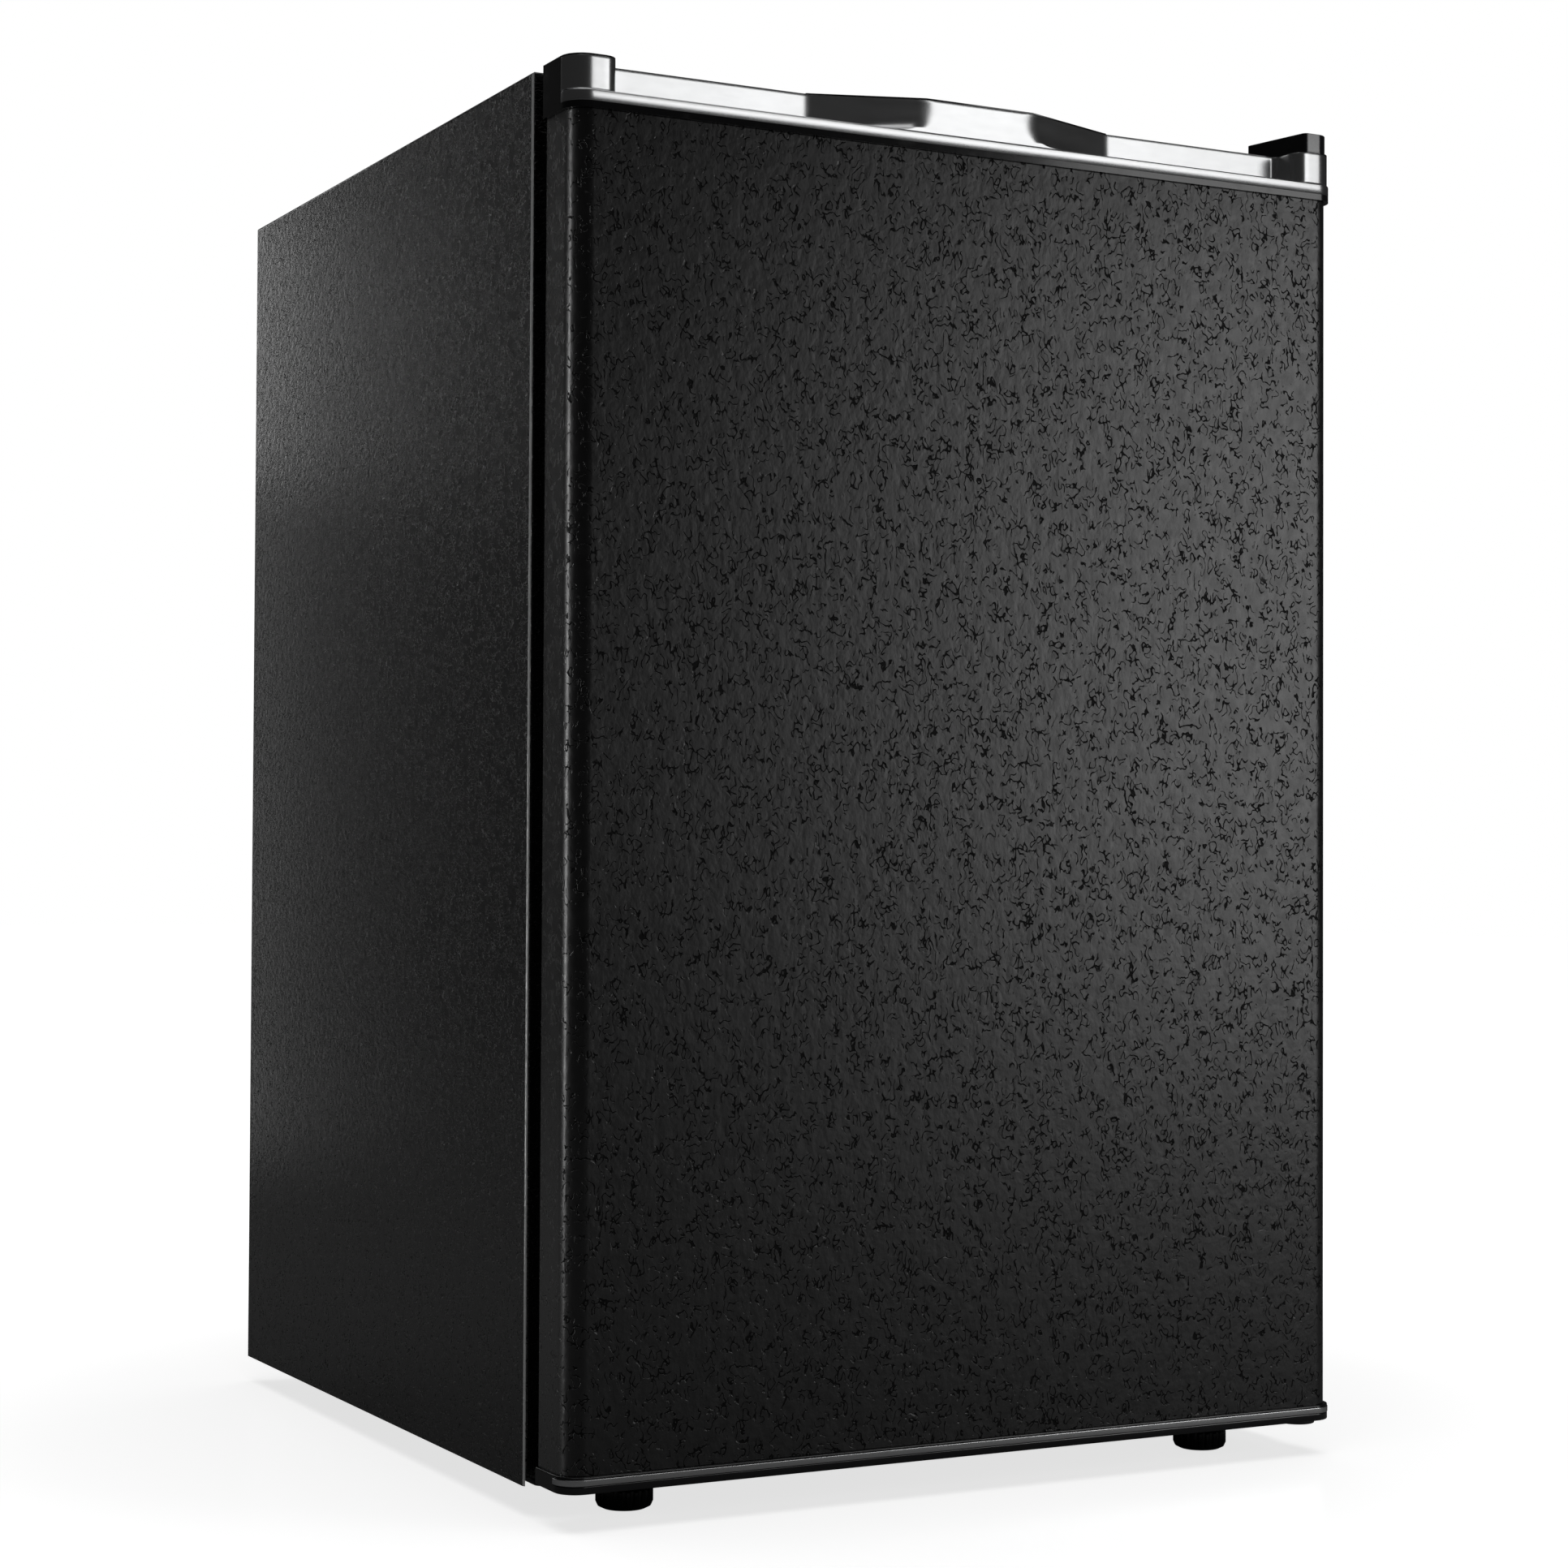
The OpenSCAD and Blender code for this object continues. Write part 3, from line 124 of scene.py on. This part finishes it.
def embossed_steel(name, base, cell, tall, depth, rough, cut, fold, painted_fold_highlight, front=None):
    """Black painted sheet with the short wandering grooves of an embossed grain. It is smoother, and painted
    lighter as a painted highlight line, where |x| passes the fold's two values, and only in front of the
    plane y = front where one is given."""
    s = Shader(name)
    # grooves follow the middle level of a warped noise, where a second noise lets them show
    at = s.stretched(1.0, 1.0, 1.0 / tall)
    field = s.noise(1.0 / cell, detail=0.6, rough=0.4, warp=0.35, at=at)
    line = s.ramp(s.math("ABSOLUTE", s.math("SUBTRACT", field, 0.5)), 0.014, 0.040, 1.0, 0.0)
    broken = s.ramp(s.noise(0.45 / cell, detail=1.5, warp=0.3), cut - 0.02, cut + 0.06)
    groove = s.math("MULTIPLY", line, broken)
    swell = s.noise(0.8 / cell, detail=2.0, at=at)
    fine = s.noise(9.0 / cell, detail=2.0)
    height = s.math("SUBTRACT", s.math("MULTIPLY_ADD", fine, 0.05, s.math("MULTIPLY", swell, 0.55)), groove)
    # a few pale specks: painted glints
    dot = s.ramp(s.cells(1.0 / (cell * 0.9)), 0.035, 0.06, 1.0, 0.0)
    rare = s.ramp(s.noise(0.9 / cell, detail=0.0), 0.66, 0.68)
    painted_glint = s.math("MULTIPLY", dot, rare)
    shade = s.ramp(s.noise(7.0, detail=3.0), 0.35, 0.65, 0.0, 1.0)
    paint = s.mix(shade, [c * 0.86 for c in base], [c * 1.12 for c in base])
    # the colour in the grooves drops to a quarter: painted shade in the grooves
    paint = s.mix(groove, paint, [c * 0.25 for c in base])
    across = s.tree.nodes.new("ShaderNodeSeparateXYZ")
    s.link(s.place, across.inputs[0])
    fold_highlight_mask = s.ramp(s.math("ABSOLUTE", across.outputs[0]), *fold)
    if front is not None:
        fold_highlight_mask = s.math("MULTIPLY", fold_highlight_mask, s.ramp(across.outputs[1], front, front + 0.0006, 1.0, 0.0))
    # the fold's band takes a lighter grey: a painted highlight line along the fold
    paint = s.mix(fold_highlight_mask, paint, (painted_fold_highlight, painted_fold_highlight, painted_fold_highlight))
    flat = s.ramp(fold_highlight_mask, 0.0, 1.0, 1.0, 0.2)
    # pale grey on the specks: painted glints
    s.put(Base_Color=s.mix(painted_glint, paint, (0.42, 0.42, 0.43)))
    gloss = s.math("MULTIPLY_ADD", swell, 0.16, s.math("MULTIPLY_ADD", groove, 0.2, rough - 0.08))
    s.put(Roughness=s.math("MULTIPLY_ADD", fold_highlight_mask, -0.10, gloss))
    s.put(Metallic=0.0, IOR=1.5, Specular_IOR_Level=s.ramp(groove, 0.0, 1.0, 0.9, 0.2))
    s.bump(s.math("MULTIPLY", height, flat), depth)
    return s.mat


def smooth_paint(name, base, rough, grain=900.0, depth=0.00004, coat=0.0, dust=0.0):
    """Painted or moulded surface with a fine orange-peel and a slow change of colour and gloss."""
    s = Shader(name)
    peel = s.noise(grain, detail=2.0)
    slow = s.noise(9.0, detail=4.0, rough=0.6)
    mark = s.ramp(s.noise(60.0, detail=6.0, rough=0.7), 0.52, 0.75)
    colour = s.mix(slow, [c * 0.9 for c in base], [min(1.0, c * 1.1) for c in base])
    if dust:
        colour = s.mix(s.math("MULTIPLY", mark, dust), colour, (0.32, 0.31, 0.29))
    s.put(Base_Color=colour, Metallic=0.0)
    s.put(Roughness=s.math("MULTIPLY_ADD", mark, 0.10, s.math("MULTIPLY_ADD", slow, 0.08, rough - 0.05)))
    if coat:
        s.put(Coat_Weight=coat, Coat_Roughness=0.06)
    s.bump(peel, depth)
    return s.mat


def bright_metal(name, base, rough, brush, depth, worn):
    """Plated or rolled metal: long brush lines, cloudy roughness and a faint tarnish."""
    s = Shader(name)
    lines = s.noise(260.0, detail=3.0, at=s.stretched(*brush))
    cloud = s.noise(22.0, detail=4.0, rough=0.6)
    s.put(Base_Color=s.mix(cloud, [c * (1.0 - worn) for c in base], base), Metallic=1.0)
    s.put(Roughness=s.math("MULTIPLY_ADD", lines, 0.05, s.math("MULTIPLY_ADD", cloud, 0.04, rough - 0.04)))
    s.bump(lines, depth)
    return s.mat


def spangled_zinc(name):
    """Galvanised sheet: flakes of slightly different grey and gloss."""
    s = Shader(name)
    flake = s.cells(160.0, output="Color")
    grey = s.tree.nodes.new("ShaderNodeSeparateColor")
    s.link(flake, grey.inputs[0])
    s.put(Base_Color=s.mix(grey.outputs[0], (0.50, 0.51, 0.52), (0.66, 0.67, 0.68)), Metallic=1.0)
    s.put(Roughness=s.ramp(grey.outputs[1], 0.0, 1.0, 0.30, 0.48, "LINEAR"))
    s.bump(s.noise(700.0, detail=2.0), 0.00002)
    return s.mat


def see_through(name, tint, rough, cloud):
    """Glass or clear plastic with a slight haze."""
    s = Shader(name)
    haze = s.noise(38.0, detail=5.0, rough=0.65)
    s.put(Base_Color=s.mix(haze, tint, [min(1.0, c * 1.04) for c in tint]))
    s.put(Roughness=s.ramp(haze, 0.35, 0.75, rough, rough + cloud), IOR=1.5, Transmission_Weight=0.92)
    s.bump(s.noise(120.0, detail=1.0), 0.00002)
    return s.mat


def foamed(name):
    """Yellowish insulation with fine bubbles."""
    s = Shader(name)
    bubble = s.cells(420.0)
    s.put(Base_Color=s.mix(s.noise(25.0, detail=4.0), (0.70, 0.60, 0.36), (0.86, 0.78, 0.54)), Roughness=0.9)
    s.bump(bubble, 0.0006)
    return s.mat


def rubbery(name, base, rough):
    """Dull rubber or ferrite with a faint bloom."""
    s = Shader(name)
    bloom = s.noise(45.0, detail=5.0, rough=0.65)
    s.put(Base_Color=s.mix(bloom, base, [c * 1.7 for c in base]))
    s.put(Roughness=s.ramp(bloom, 0.3, 0.7, rough - 0.08, rough + 0.1))
    s.bump(s.noise(1300.0, detail=2.0), 0.00005)
    return s.mat


def frosted(name):
    """The lamp's cover: milky plastic with a prism grain."""
    s = Shader(name)
    rib = s.tree.nodes.new("ShaderNodeTexWave")
    rib.bands_direction = "Y"
    rib.inputs["Scale"].default_value = 130.0
    s.link(s.place, rib.inputs["Vector"])
    s.put(Base_Color=s.mix(s.noise(30.0), (0.90, 0.90, 0.86), (0.96, 0.96, 0.93)))
    s.put(Roughness=0.28, Transmission_Weight=0.35, IOR=1.49)
    s.bump(rib.outputs["Fac"], 0.0004)
    return s.mat


MATERIALS = {
    # grain: cell, height to width, depth, roughness, how rare; then the fold's start and end, the grey of its
    # painted highlight and front
    "door_steel": embossed_steel("door_steel", (0.006, 0.006, 0.0063), 0.0040, 1.35, 0.00042, 0.35, 0.49,
                                 (0.2655, 0.2672), 0.030),
    "side_steel": embossed_steel("side_steel", (0.006, 0.006, 0.0063), 0.0034, 0.62, 0.00040, 0.24, 0.44,
                                 (0.2688, 0.2692), 0.45, -0.2368),
    "black_paint": smooth_paint("black_paint", (0.022, 0.022, 0.024), 0.36, dust=0.05),
    "can_paint": smooth_paint("can_paint", (0.018, 0.018, 0.019), 0.28, grain=400.0, depth=0.00006,
                              dust=0.12),
    "grey_paint": smooth_paint("grey_paint", (0.085, 0.087, 0.09), 0.42, grain=600.0, dust=0.08),
    "black_gloss": smooth_paint("black_gloss", (0.010, 0.010, 0.011), 0.16, grain=500.0, depth=0.00001,
                                coat=0.25),
    "black_satin": smooth_paint("black_satin", (0.014, 0.014, 0.015), 0.30, grain=1500.0, depth=0.00003),
    "white_plastic": smooth_paint("white_plastic", (0.80, 0.81, 0.80), 0.30, grain=420.0, depth=0.00003),
    "knob_plastic": smooth_paint("knob_plastic", (0.86, 0.86, 0.84), 0.26, grain=900.0, depth=0.00002),
    "chrome": bright_metal("chrome", (0.74, 0.745, 0.75), 0.25, (0.3, 0.3, 1.0), 0.000001, 0.02),
    "zinc": spangled_zinc("zinc"),
    "screw_steel": bright_metal("screw_steel", (0.62, 0.62, 0.63), 0.30, (1.0, 1.0, 1.0), 0.00001, 0.2),
    "copper": bright_metal("copper", (0.80, 0.45, 0.29), 0.28, (1.0, 1.0, 1.0), 0.00002, 0.3),
    "aluminium": bright_metal("aluminium", (0.78, 0.79, 0.80), 0.36, (0.03, 1.0, 1.0), 0.00002, 0.1),
    "clear_plastic": see_through("clear_plastic", (0.93, 0.95, 0.95), 0.06, 0.10),
    "glass": see_through("glass", (0.86, 0.95, 0.92), 0.015, 0.03),
    "lens": frosted("lens"),
    "foam": foamed("foam"),
    "rubber": rubbery("rubber", (0.0015, 0.0015, 0.0015), 0.8),
    "ferrite": rubbery("ferrite", (0.05, 0.04, 0.035), 0.7),
}

FINISH = {
    "side_steel": ["cabinet_shell"],
    "door_steel": ["door_skin"],
    "black_gloss": ["door_top_cap", "door_bottom_cap", "top_hinge_cover", "front_left_foot_wheel",
                    "front_right_foot_wheel", "hinge_hole_plug"],
    "black_satin": ["terminal_cover", "condenser_brackets", "drain_tray", "cord_gland", "rear_feet"],
    "black_paint": ["bottom_hinge_bracket", "left_foot_bracket", "front_base_rail", "condenser_tube",
                    "condenser_wires"],
    "can_paint": ["compressor"],
    "grey_paint": ["back_panel", "compressor_tray"],
    "zinc": ["base_pan", "compartment_liner"],
    "screw_steel": ["top_hinge_bracket", "top_hinge_pin", "top_hinge_screws", "bottom_hinge_pin",
                    "bracket_screws", "front_left_foot_stud", "front_right_foot_stud", "compressor_bolts",
                    "condenser_screws"],
    "chrome": ["handle_trim", "bottom_trim"],
    "rubber": ["door_gasket", "compressor_grommets"],
    "ferrite": ["gasket_magnet"],
    "white_plastic": ["inner_liner", "door_liner", "thermostat_housing", "shelf_trims", "drain_pipe",
                      "hinge_bushes", "thermostat"],
    "knob_plastic": ["thermostat_knob"],
    "clear_plastic": ["upper_door_rack", "middle_door_rack", "lower_door_rack"],
    "lens": ["light_lens"],
    "glass": ["shelf_glass"],
    "foam": ["insulation_left", "insulation_right", "insulation_top", "insulation_back", "insulation_step",
             "insulation_floor", "door_insulation"],
    "copper": ["filter_drier", "discharge_pipe", "suction_pipe", "capillary_pipe"],
    "aluminium": ["evaporator_plate"],
}

# rounding of each node's sharp edges, in millimetres
OTHER_EDGES = 0.3
EDGE = {
    "cabinet_shell": 0.25, "door_skin": 0.25, "door_top_cap": 0.25, "door_bottom_cap": 0.8,
    "bottom_trim": 0.35, "top_hinge_cover": 1.0, "inner_liner": 0.6, "door_liner": 0.6,
    "thermostat_housing": 1.2, "light_lens": 0.5, "shelf_trims": 0.7, "shelf_glass": 0.5,
    "upper_door_rack": 0.5, "middle_door_rack": 0.5, "lower_door_rack": 0.5, "drain_tray": 0.5,
    "terminal_cover": 2.0, "rear_feet": 0.6, "thermostat_knob": 0.25, "compressor": 0.8,
    "front_left_foot_wheel": 0.25, "front_right_foot_wheel": 0.25,
}
SMOOTH_ONLY = ("condenser_tube", "condenser_wires", "discharge_pipe", "suction_pipe", "capillary_pipe",
               "gasket_magnet", "thermostat", *FINISH["foam"])


def paint(obj, mat):
    obj.data.materials.clear()
    obj.data.materials.append(mat)


def soften(obj, width):
    """Rounds the sharp edges of a CAD node with modifiers; its mesh stays as it is."""
    weld = obj.modifiers.new("weld", "WELD")
    weld.merge_threshold = 0.00001
    flat = obj.modifiers.new("flat", "DECIMATE")
    flat.decimate_type = "DISSOLVE"
    flat.angle_limit = math.radians(0.6)
    bevel = obj.modifiers.new("bevel", "BEVEL")
    bevel.width = width * MM
    bevel.segments = 2
    bevel.limit_method = "ANGLE"
    bevel.angle_limit = math.radians(38)
    bevel.miter_outer = "MITER_ARC"
    normal = obj.modifiers.new("normal", "WEIGHTED_NORMAL")
    normal.keep_sharp = False


for finish, names in FINISH.items():
    for name in names:
        node = nodes[name]
        paint(node, MATERIALS[finish])
        if name not in SMOOTH_ONLY:
            soften(node, EDGE.get(name, OTHER_EDGES))


# ---------------------------------------------------------------- bright trim of the handle

# in millimetres: the outer planes are the node's, the other sizes repeat those that shape it
low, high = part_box("handle_trim")
LIP_H, GRIP_H, RIM_T, TRIM_T = 6.7, 20.5, 0.8, 1.6
HALF_W, Y_FACE, Z_LIP = high.x / MM, low.y / MM, low.z / MM
Z_SHELF = Z_LIP + LIP_H
Z_TRIM = high.z / MM - RIM_T - 0.05     # the trim's top, level just under the rim
WAIST_X, GRIP_FLARE, WAIST_H, TOP_SPREAD = 35.0, 21.0, 0.65 * GRIP_H, 2.5
FOOT_X, FOOT_BLEND, RECESS_R = 107.0, 20.0, 5.0
HORN_IN, HORN_R, CORNER_R = HALF_W - 31.0, 9.0, 14.0
HORN_Y, RECESS_Y = Y_FACE + 1.5, Y_FACE + 24.0
CORNER_STEPS = 18


def grip_w(z):
    """Half of the grip's width at height z: flared at its foot, a waist, and a slight spread to the top."""
    h = z - Z_SHELF
    if h < WAIST_H:
        return WAIST_X + GRIP_FLARE * (1 - math.sqrt(max(0.0, 1 - (1 - max(h, 0.0) / WAIST_H) ** 2)))
    return WAIST_X + TOP_SPREAD * ((h - WAIST_H) / (GRIP_H - WAIST_H)) ** 2


def arc(cx, cy, r, a0, a1, n):
    """n + 1 points on an arc from a0 to a1 degrees."""
    return [(cx + r * math.cos(math.radians(a0 + (a1 - a0) * i / n)),
             cy + r * math.sin(math.radians(a0 + (a1 - a0) * i / n))) for i in range(n + 1)]


def between(a, b, n):
    """The points that cut a line from a to b into n, without its ends."""
    return [(a[0] + (b[0] - a[0]) * i / n, a[1] + (b[1] - a[1]) * i / n) for i in range(1, n)]


def upper_half(z, o):
    """Half of the handle's plan at height z, shrunk by o, from the grip's middle to the end of the trim."""
    w = grip_w(z)
    slope = math.atan2(RECESS_Y - Y_FACE, FOOT_X - w)
    t = FOOT_BLEND * math.tan(slope / 2)
    edge = (w - o * math.tan(slope / 2), Y_FACE + o)
    foot = arc(FOOT_X + t, RECESS_Y - FOOT_BLEND, FOOT_BLEND + o, 90 + math.degrees(slope), 90, 14)
    inner = arc(HORN_IN - RECESS_R, RECESS_Y - RECESS_R, RECESS_R + o, 90, 0, 10)
    rise = arc(HORN_IN + HORN_R, HORN_Y + HORN_R, HORN_R - o, 180, 270, 14)
    corner = arc(HALF_W - CORNER_R, HORN_Y + CORNER_R, CORNER_R - o, 270, 360, CORNER_STEPS)
    return ([(0.0, edge[1])] + between((0.0, edge[1]), edge, 6) + [edge] + between(edge, foot[0], 10) + foot
            + between(foot[-1], inner[0], 12) + inner + between(inner[-1], rise[0], 3) + rise
            + between(rise[-1], corner[0], 4) + corner)


def lip_half(o):
    """The lip's plan, shrunk by o, with a point for each point of upper_half."""
    plan = upper_half(Z_SHELF, 0.0)
    first = len(plan) - (CORNER_STEPS + 1)
    reach = HALF_W - CORNER_R
    length = [0.0]
    for a, b in zip(plan, plan[1:first]):
        length.append(length[-1] + max(abs(b[0] - a[0]), 0.25 * abs(b[1] - a[1])))
    straight = [(reach * s / (length[-1] + 2.0), Y_FACE + o) for s in length]
    bend = arc(reach, Y_FACE + CORNER_R, CORNER_R - o, 270, 360, CORNER_STEPS)
    end = HORN_Y + CORNER_R
    bend[-1] = (bend[-1][0], end)
    return straight + bend


def trim_rows():
    """The trim's closed section, as rows of half outlines with their heights."""
    rows = [(lip_half(TRIM_T), Z_LIP), (lip_half(0.35), Z_LIP), (lip_half(0.1), Z_LIP + 0.1),
            (lip_half(0.0), Z_LIP + 0.35)]
    # the lip's rounded upper edge, then the hollow where the wall rises from it
    edge_r, hollow_r, steps = 0.9, 0.7, 16
    for a in (0, 30, 60, 90):
        turn = math.radians(a)
        rows.append((lip_half(edge_r * (1 - math.cos(turn))), Z_SHELF - edge_r * (1 - math.sin(turn))))
    for a in (0, 30, 60):
        turn = math.radians(a)
        z = Z_SHELF + hollow_r * (1 - math.cos(turn))
        half = upper_half(z, -hollow_r * (1 - math.sin(turn)))
        rows.append(([(min(x, HALF_W), max(y, Y_FACE)) for x, y in half], z))
    start, top = Z_SHELF + hollow_r, Z_TRIM - 0.3
    for i in range(steps + 1):
        z = start + (top - start) * (i / steps) ** 1.35
        rows.append((upper_half(z, 0.0), z))
    rows.append((upper_half(Z_TRIM, 0.1), Z_TRIM - 0.08))
    rows.append((upper_half(Z_TRIM, 0.35), Z_TRIM))
    for i in range(steps + 1):
        z = Z_TRIM + (Z_SHELF - TRIM_T - Z_TRIM) * (i / steps)
        rows.append((upper_half(z, TRIM_T), z))
    return rows


def mesh_object(name, verts, faces, mat):
    """A smooth-shaded object from points in millimetres, with its edges over 40 degrees left sharp."""
    mesh = bpy.data.meshes.new(name)
    mesh.from_pydata([(x * MM, y * MM, z * MM) for x, y, z in verts], [], faces)
    bm = bmesh.new()
    bm.from_mesh(mesh)
    bmesh.ops.remove_doubles(bm, verts=bm.verts, dist=0.00001)
    bmesh.ops.dissolve_degenerate(bm, edges=bm.edges, dist=0.00001)
    bmesh.ops.recalc_face_normals(bm, faces=bm.faces)
    bm.to_mesh(mesh)
    bm.free()
    for polygon in mesh.polygons:
        polygon.use_smooth = True
    mesh.set_sharp_from_angle(angle=math.radians(40.0))
    obj = bpy.data.objects.new(name, mesh)
    scene.collection.objects.link(obj)
    obj.data.materials.append(mat)
    return obj


def handle_trim():
    """The trim, made by mirroring each row and joining it to the next all the way round."""
    verts, faces = [], []
    rows = trim_rows()
    for half, z in rows:
        full = [(-x, y) for x, y in reversed(half[1:])] + half
        count = len(full)
        verts += [(x, y, z) for x, y in full]
    for i in range(len(rows)):
        j = (i + 1) % len(rows)
        for k in range(count - 1):
            faces.append((i * count + k, i * count + k + 1, j * count + k + 1, j * count + k))
    faces.append([i * count for i in range(len(rows))])
    faces.append([i * count + count - 1 for i in reversed(range(len(rows)))])
    return mesh_object("handle_chrome", verts, faces, MATERIALS["chrome"])


chrome = handle_trim()
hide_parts("handle_trim")
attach(chrome, "door")


# ---------------------------------------------------------------- stage, light and camera

def area(name, at, to, size, power):
    """A rectangular lamp at one place, facing another."""
    data = bpy.data.lights.new(name, "AREA")
    data.shape = "RECTANGLE"
    data.size, data.size_y = size
    data.energy = power
    lamp = bpy.data.objects.new(name, data)
    scene.collection.objects.link(lamp)
    lamp.location = at
    lamp.rotation_euler = (Vector(to) - Vector(at)).to_track_quat("-Z", "Y").to_euler()
    return lamp


def floor():
    """A pale floor. The camera sees it glow more the further out it is, so the glow leaves a painted shade
    around the object's base; other rays meet a dim grey.
    """
    mesh = bpy.data.meshes.new("floor")
    mesh.from_pydata([(-9, -9, 0), (9, -9, 0), (9, 14, 0), (-9, 14, 0)], [], [(0, 1, 2, 3)])
    obj = bpy.data.objects.new("floor", mesh)
    scene.collection.objects.link(obj)
    s = Shader("floor_paper")
    s.put(Base_Color=s.mix(s.noise(3.0, detail=3.0), (0.80, 0.80, 0.80), (0.83, 0.83, 0.83)))
    s.put(Roughness=0.22, Specular_IOR_Level=0.5)
    away = s.tree.nodes.new("ShaderNodeVectorMath")
    away.operation = "LENGTH"
    s.link(s.place, away.inputs[0])
    # weaker glow near the middle: painted shade around the base, on top of the real shadow
    s.put(Emission_Color=(1, 1, 1, 1), Emission_Strength=s.ramp(away.outputs["Value"], 0.42, 1.0, 0.74, 0.99))
    dim = s.tree.nodes.new("ShaderNodeBsdfDiffuse")
    dim.inputs["Color"].default_value = (0.14, 0.14, 0.14, 1)
    seen = s.tree.nodes.new("ShaderNodeLightPath").outputs["Is Camera Ray"]
    both = s.tree.nodes.new("ShaderNodeMixShader")
    s.link(seen, both.inputs[0])
    s.link(dim.outputs[0], both.inputs[1])
    s.link(s.bsdf.outputs[0], both.inputs[2])
    out = next(n for n in s.tree.nodes if n.type == "OUTPUT_MATERIAL")
    s.link(both.outputs[0], out.inputs["Surface"])
    obj.data.materials.append(s.mat)
    return obj


def only(lamp, *objects):
    """The lamp lights these objects alone, as a card set close to them does."""
    group = bpy.data.collections.new("lit_by_" + lamp.name)
    for obj in objects:
        group.objects.link(obj)
    lamp.light_linking.receiver_collection = group


ground = floor()

# lamps: name, place, aim, size and power; the trim has its own, so that each can be set alone
only(area("key", (1.52, -1.90, 0.74), (0.10, -0.29, 0.62), (0.75, 1.25), 7.4),
     ground, *(node for name, node in nodes.items() if name != "handle_trim"))
area("top", (0.0, -0.2, 3.0), (0.0, -0.2, 0.0), (2.5, 2.5), 12.0)
area("left_rear", (-0.45, 1.25, 0.55), (-0.27, 0.2, 0.45), (0.18, 1.0), 0.35)
area("left_high", (-0.45, 1.25, 1.22), (-0.27, 0.2, 0.80), (0.18, 0.9), 0.7)
only(area("card", (1.04, -2.10, 1.40), (0.05, -0.29, 0.83), (1.3, 0.75), 4.9),
     chrome, nodes["top_hinge_cover"], nodes["bottom_trim"], nodes["door_bottom_cap"])
only(area("edge", (-2.0, 0.30, 0.55), (-0.27, -0.27, 0.45), (0.22, 1.3), 9.0),
     nodes["door_skin"], nodes["cabinet_shell"])
only(area("inside", (-0.30, -2.60, 1.10), (0.0, 0.0, 0.45), (1.4, 1.4), 32.0),
     *(nodes[name] for name in ("inner_liner", "door_liner", "shelf_trims", "shelf_glass",
                                "thermostat_housing", "thermostat_knob", "light_lens", "evaporator_plate",
                                "upper_door_rack", "middle_door_rack", "lower_door_rack", "drain_pipe")))
only(area("behind", (-0.50, 2.60, 0.90), (0.0, 0.3, 0.40), (1.2, 1.4), 34.0),
     *(nodes[name] for name in ("back_panel", "condenser_tube", "condenser_wires", "condenser_brackets",
                                "condenser_screws", "compressor", "terminal_cover", "drain_tray",
                                "compressor_tray", "compartment_liner", "filter_drier", "discharge_pipe",
                                "suction_pipe", "capillary_pipe", "cord_gland", "compressor_bolts",
                                "compressor_grommets")))
only(area("over_floor", (0.0, -0.2, 3.6), (0.0, -0.2, 0.0), (4.0, 4.0), 70.0), ground)

# white to the camera, nearly dark to every other ray
world = bpy.data.worlds.new("studio")
scene.world = world
world.use_nodes = True
tree = world.node_tree
back = next(n for n in tree.nodes if n.type == "BACKGROUND")
seen = tree.nodes.new("ShaderNodeLightPath").outputs["Is Camera Ray"]
level = tree.nodes.new("ShaderNodeMapRange")
tree.links.new(seen, level.inputs["Value"])
level.inputs["To Min"].default_value = 0.02
level.inputs["To Max"].default_value = 1.0
tree.links.new(level.outputs["Result"], back.inputs["Strength"])
back.inputs["Color"].default_value = (1, 1, 1, 1)

# the camera fitted to the photograph: turn from +Y towards +X, tilt and roll in radians; eye; lens in mm
yaw, pitch, roll = 0.48305734, 0.02306669, 0.00464429
EYE = (-0.96251, -1.87734, 0.38255)
LENS = 70.34
ahead = Vector((math.sin(yaw) * math.cos(pitch), math.cos(yaw) * math.cos(pitch), math.sin(pitch)))
side = Vector((math.cos(yaw), -math.sin(yaw), 0.0))
up = side.cross(ahead)
right = math.cos(roll) * side + math.sin(roll) * up
above = -math.sin(roll) * side + math.cos(roll) * up
camera_data = bpy.data.cameras.new("camera")
camera_data.sensor_width = 36.0
camera_data.lens = LENS
camera = bpy.data.objects.new("camera", camera_data)
scene.collection.objects.link(camera)
axes = Matrix((right, above, -ahead)).transposed().to_4x4()
camera.matrix_world = Matrix.Translation(Vector(EYE)) @ axes
scene.camera = camera
scene.view_settings.view_transform = "Standard"
scene.view_settings.look = "None"
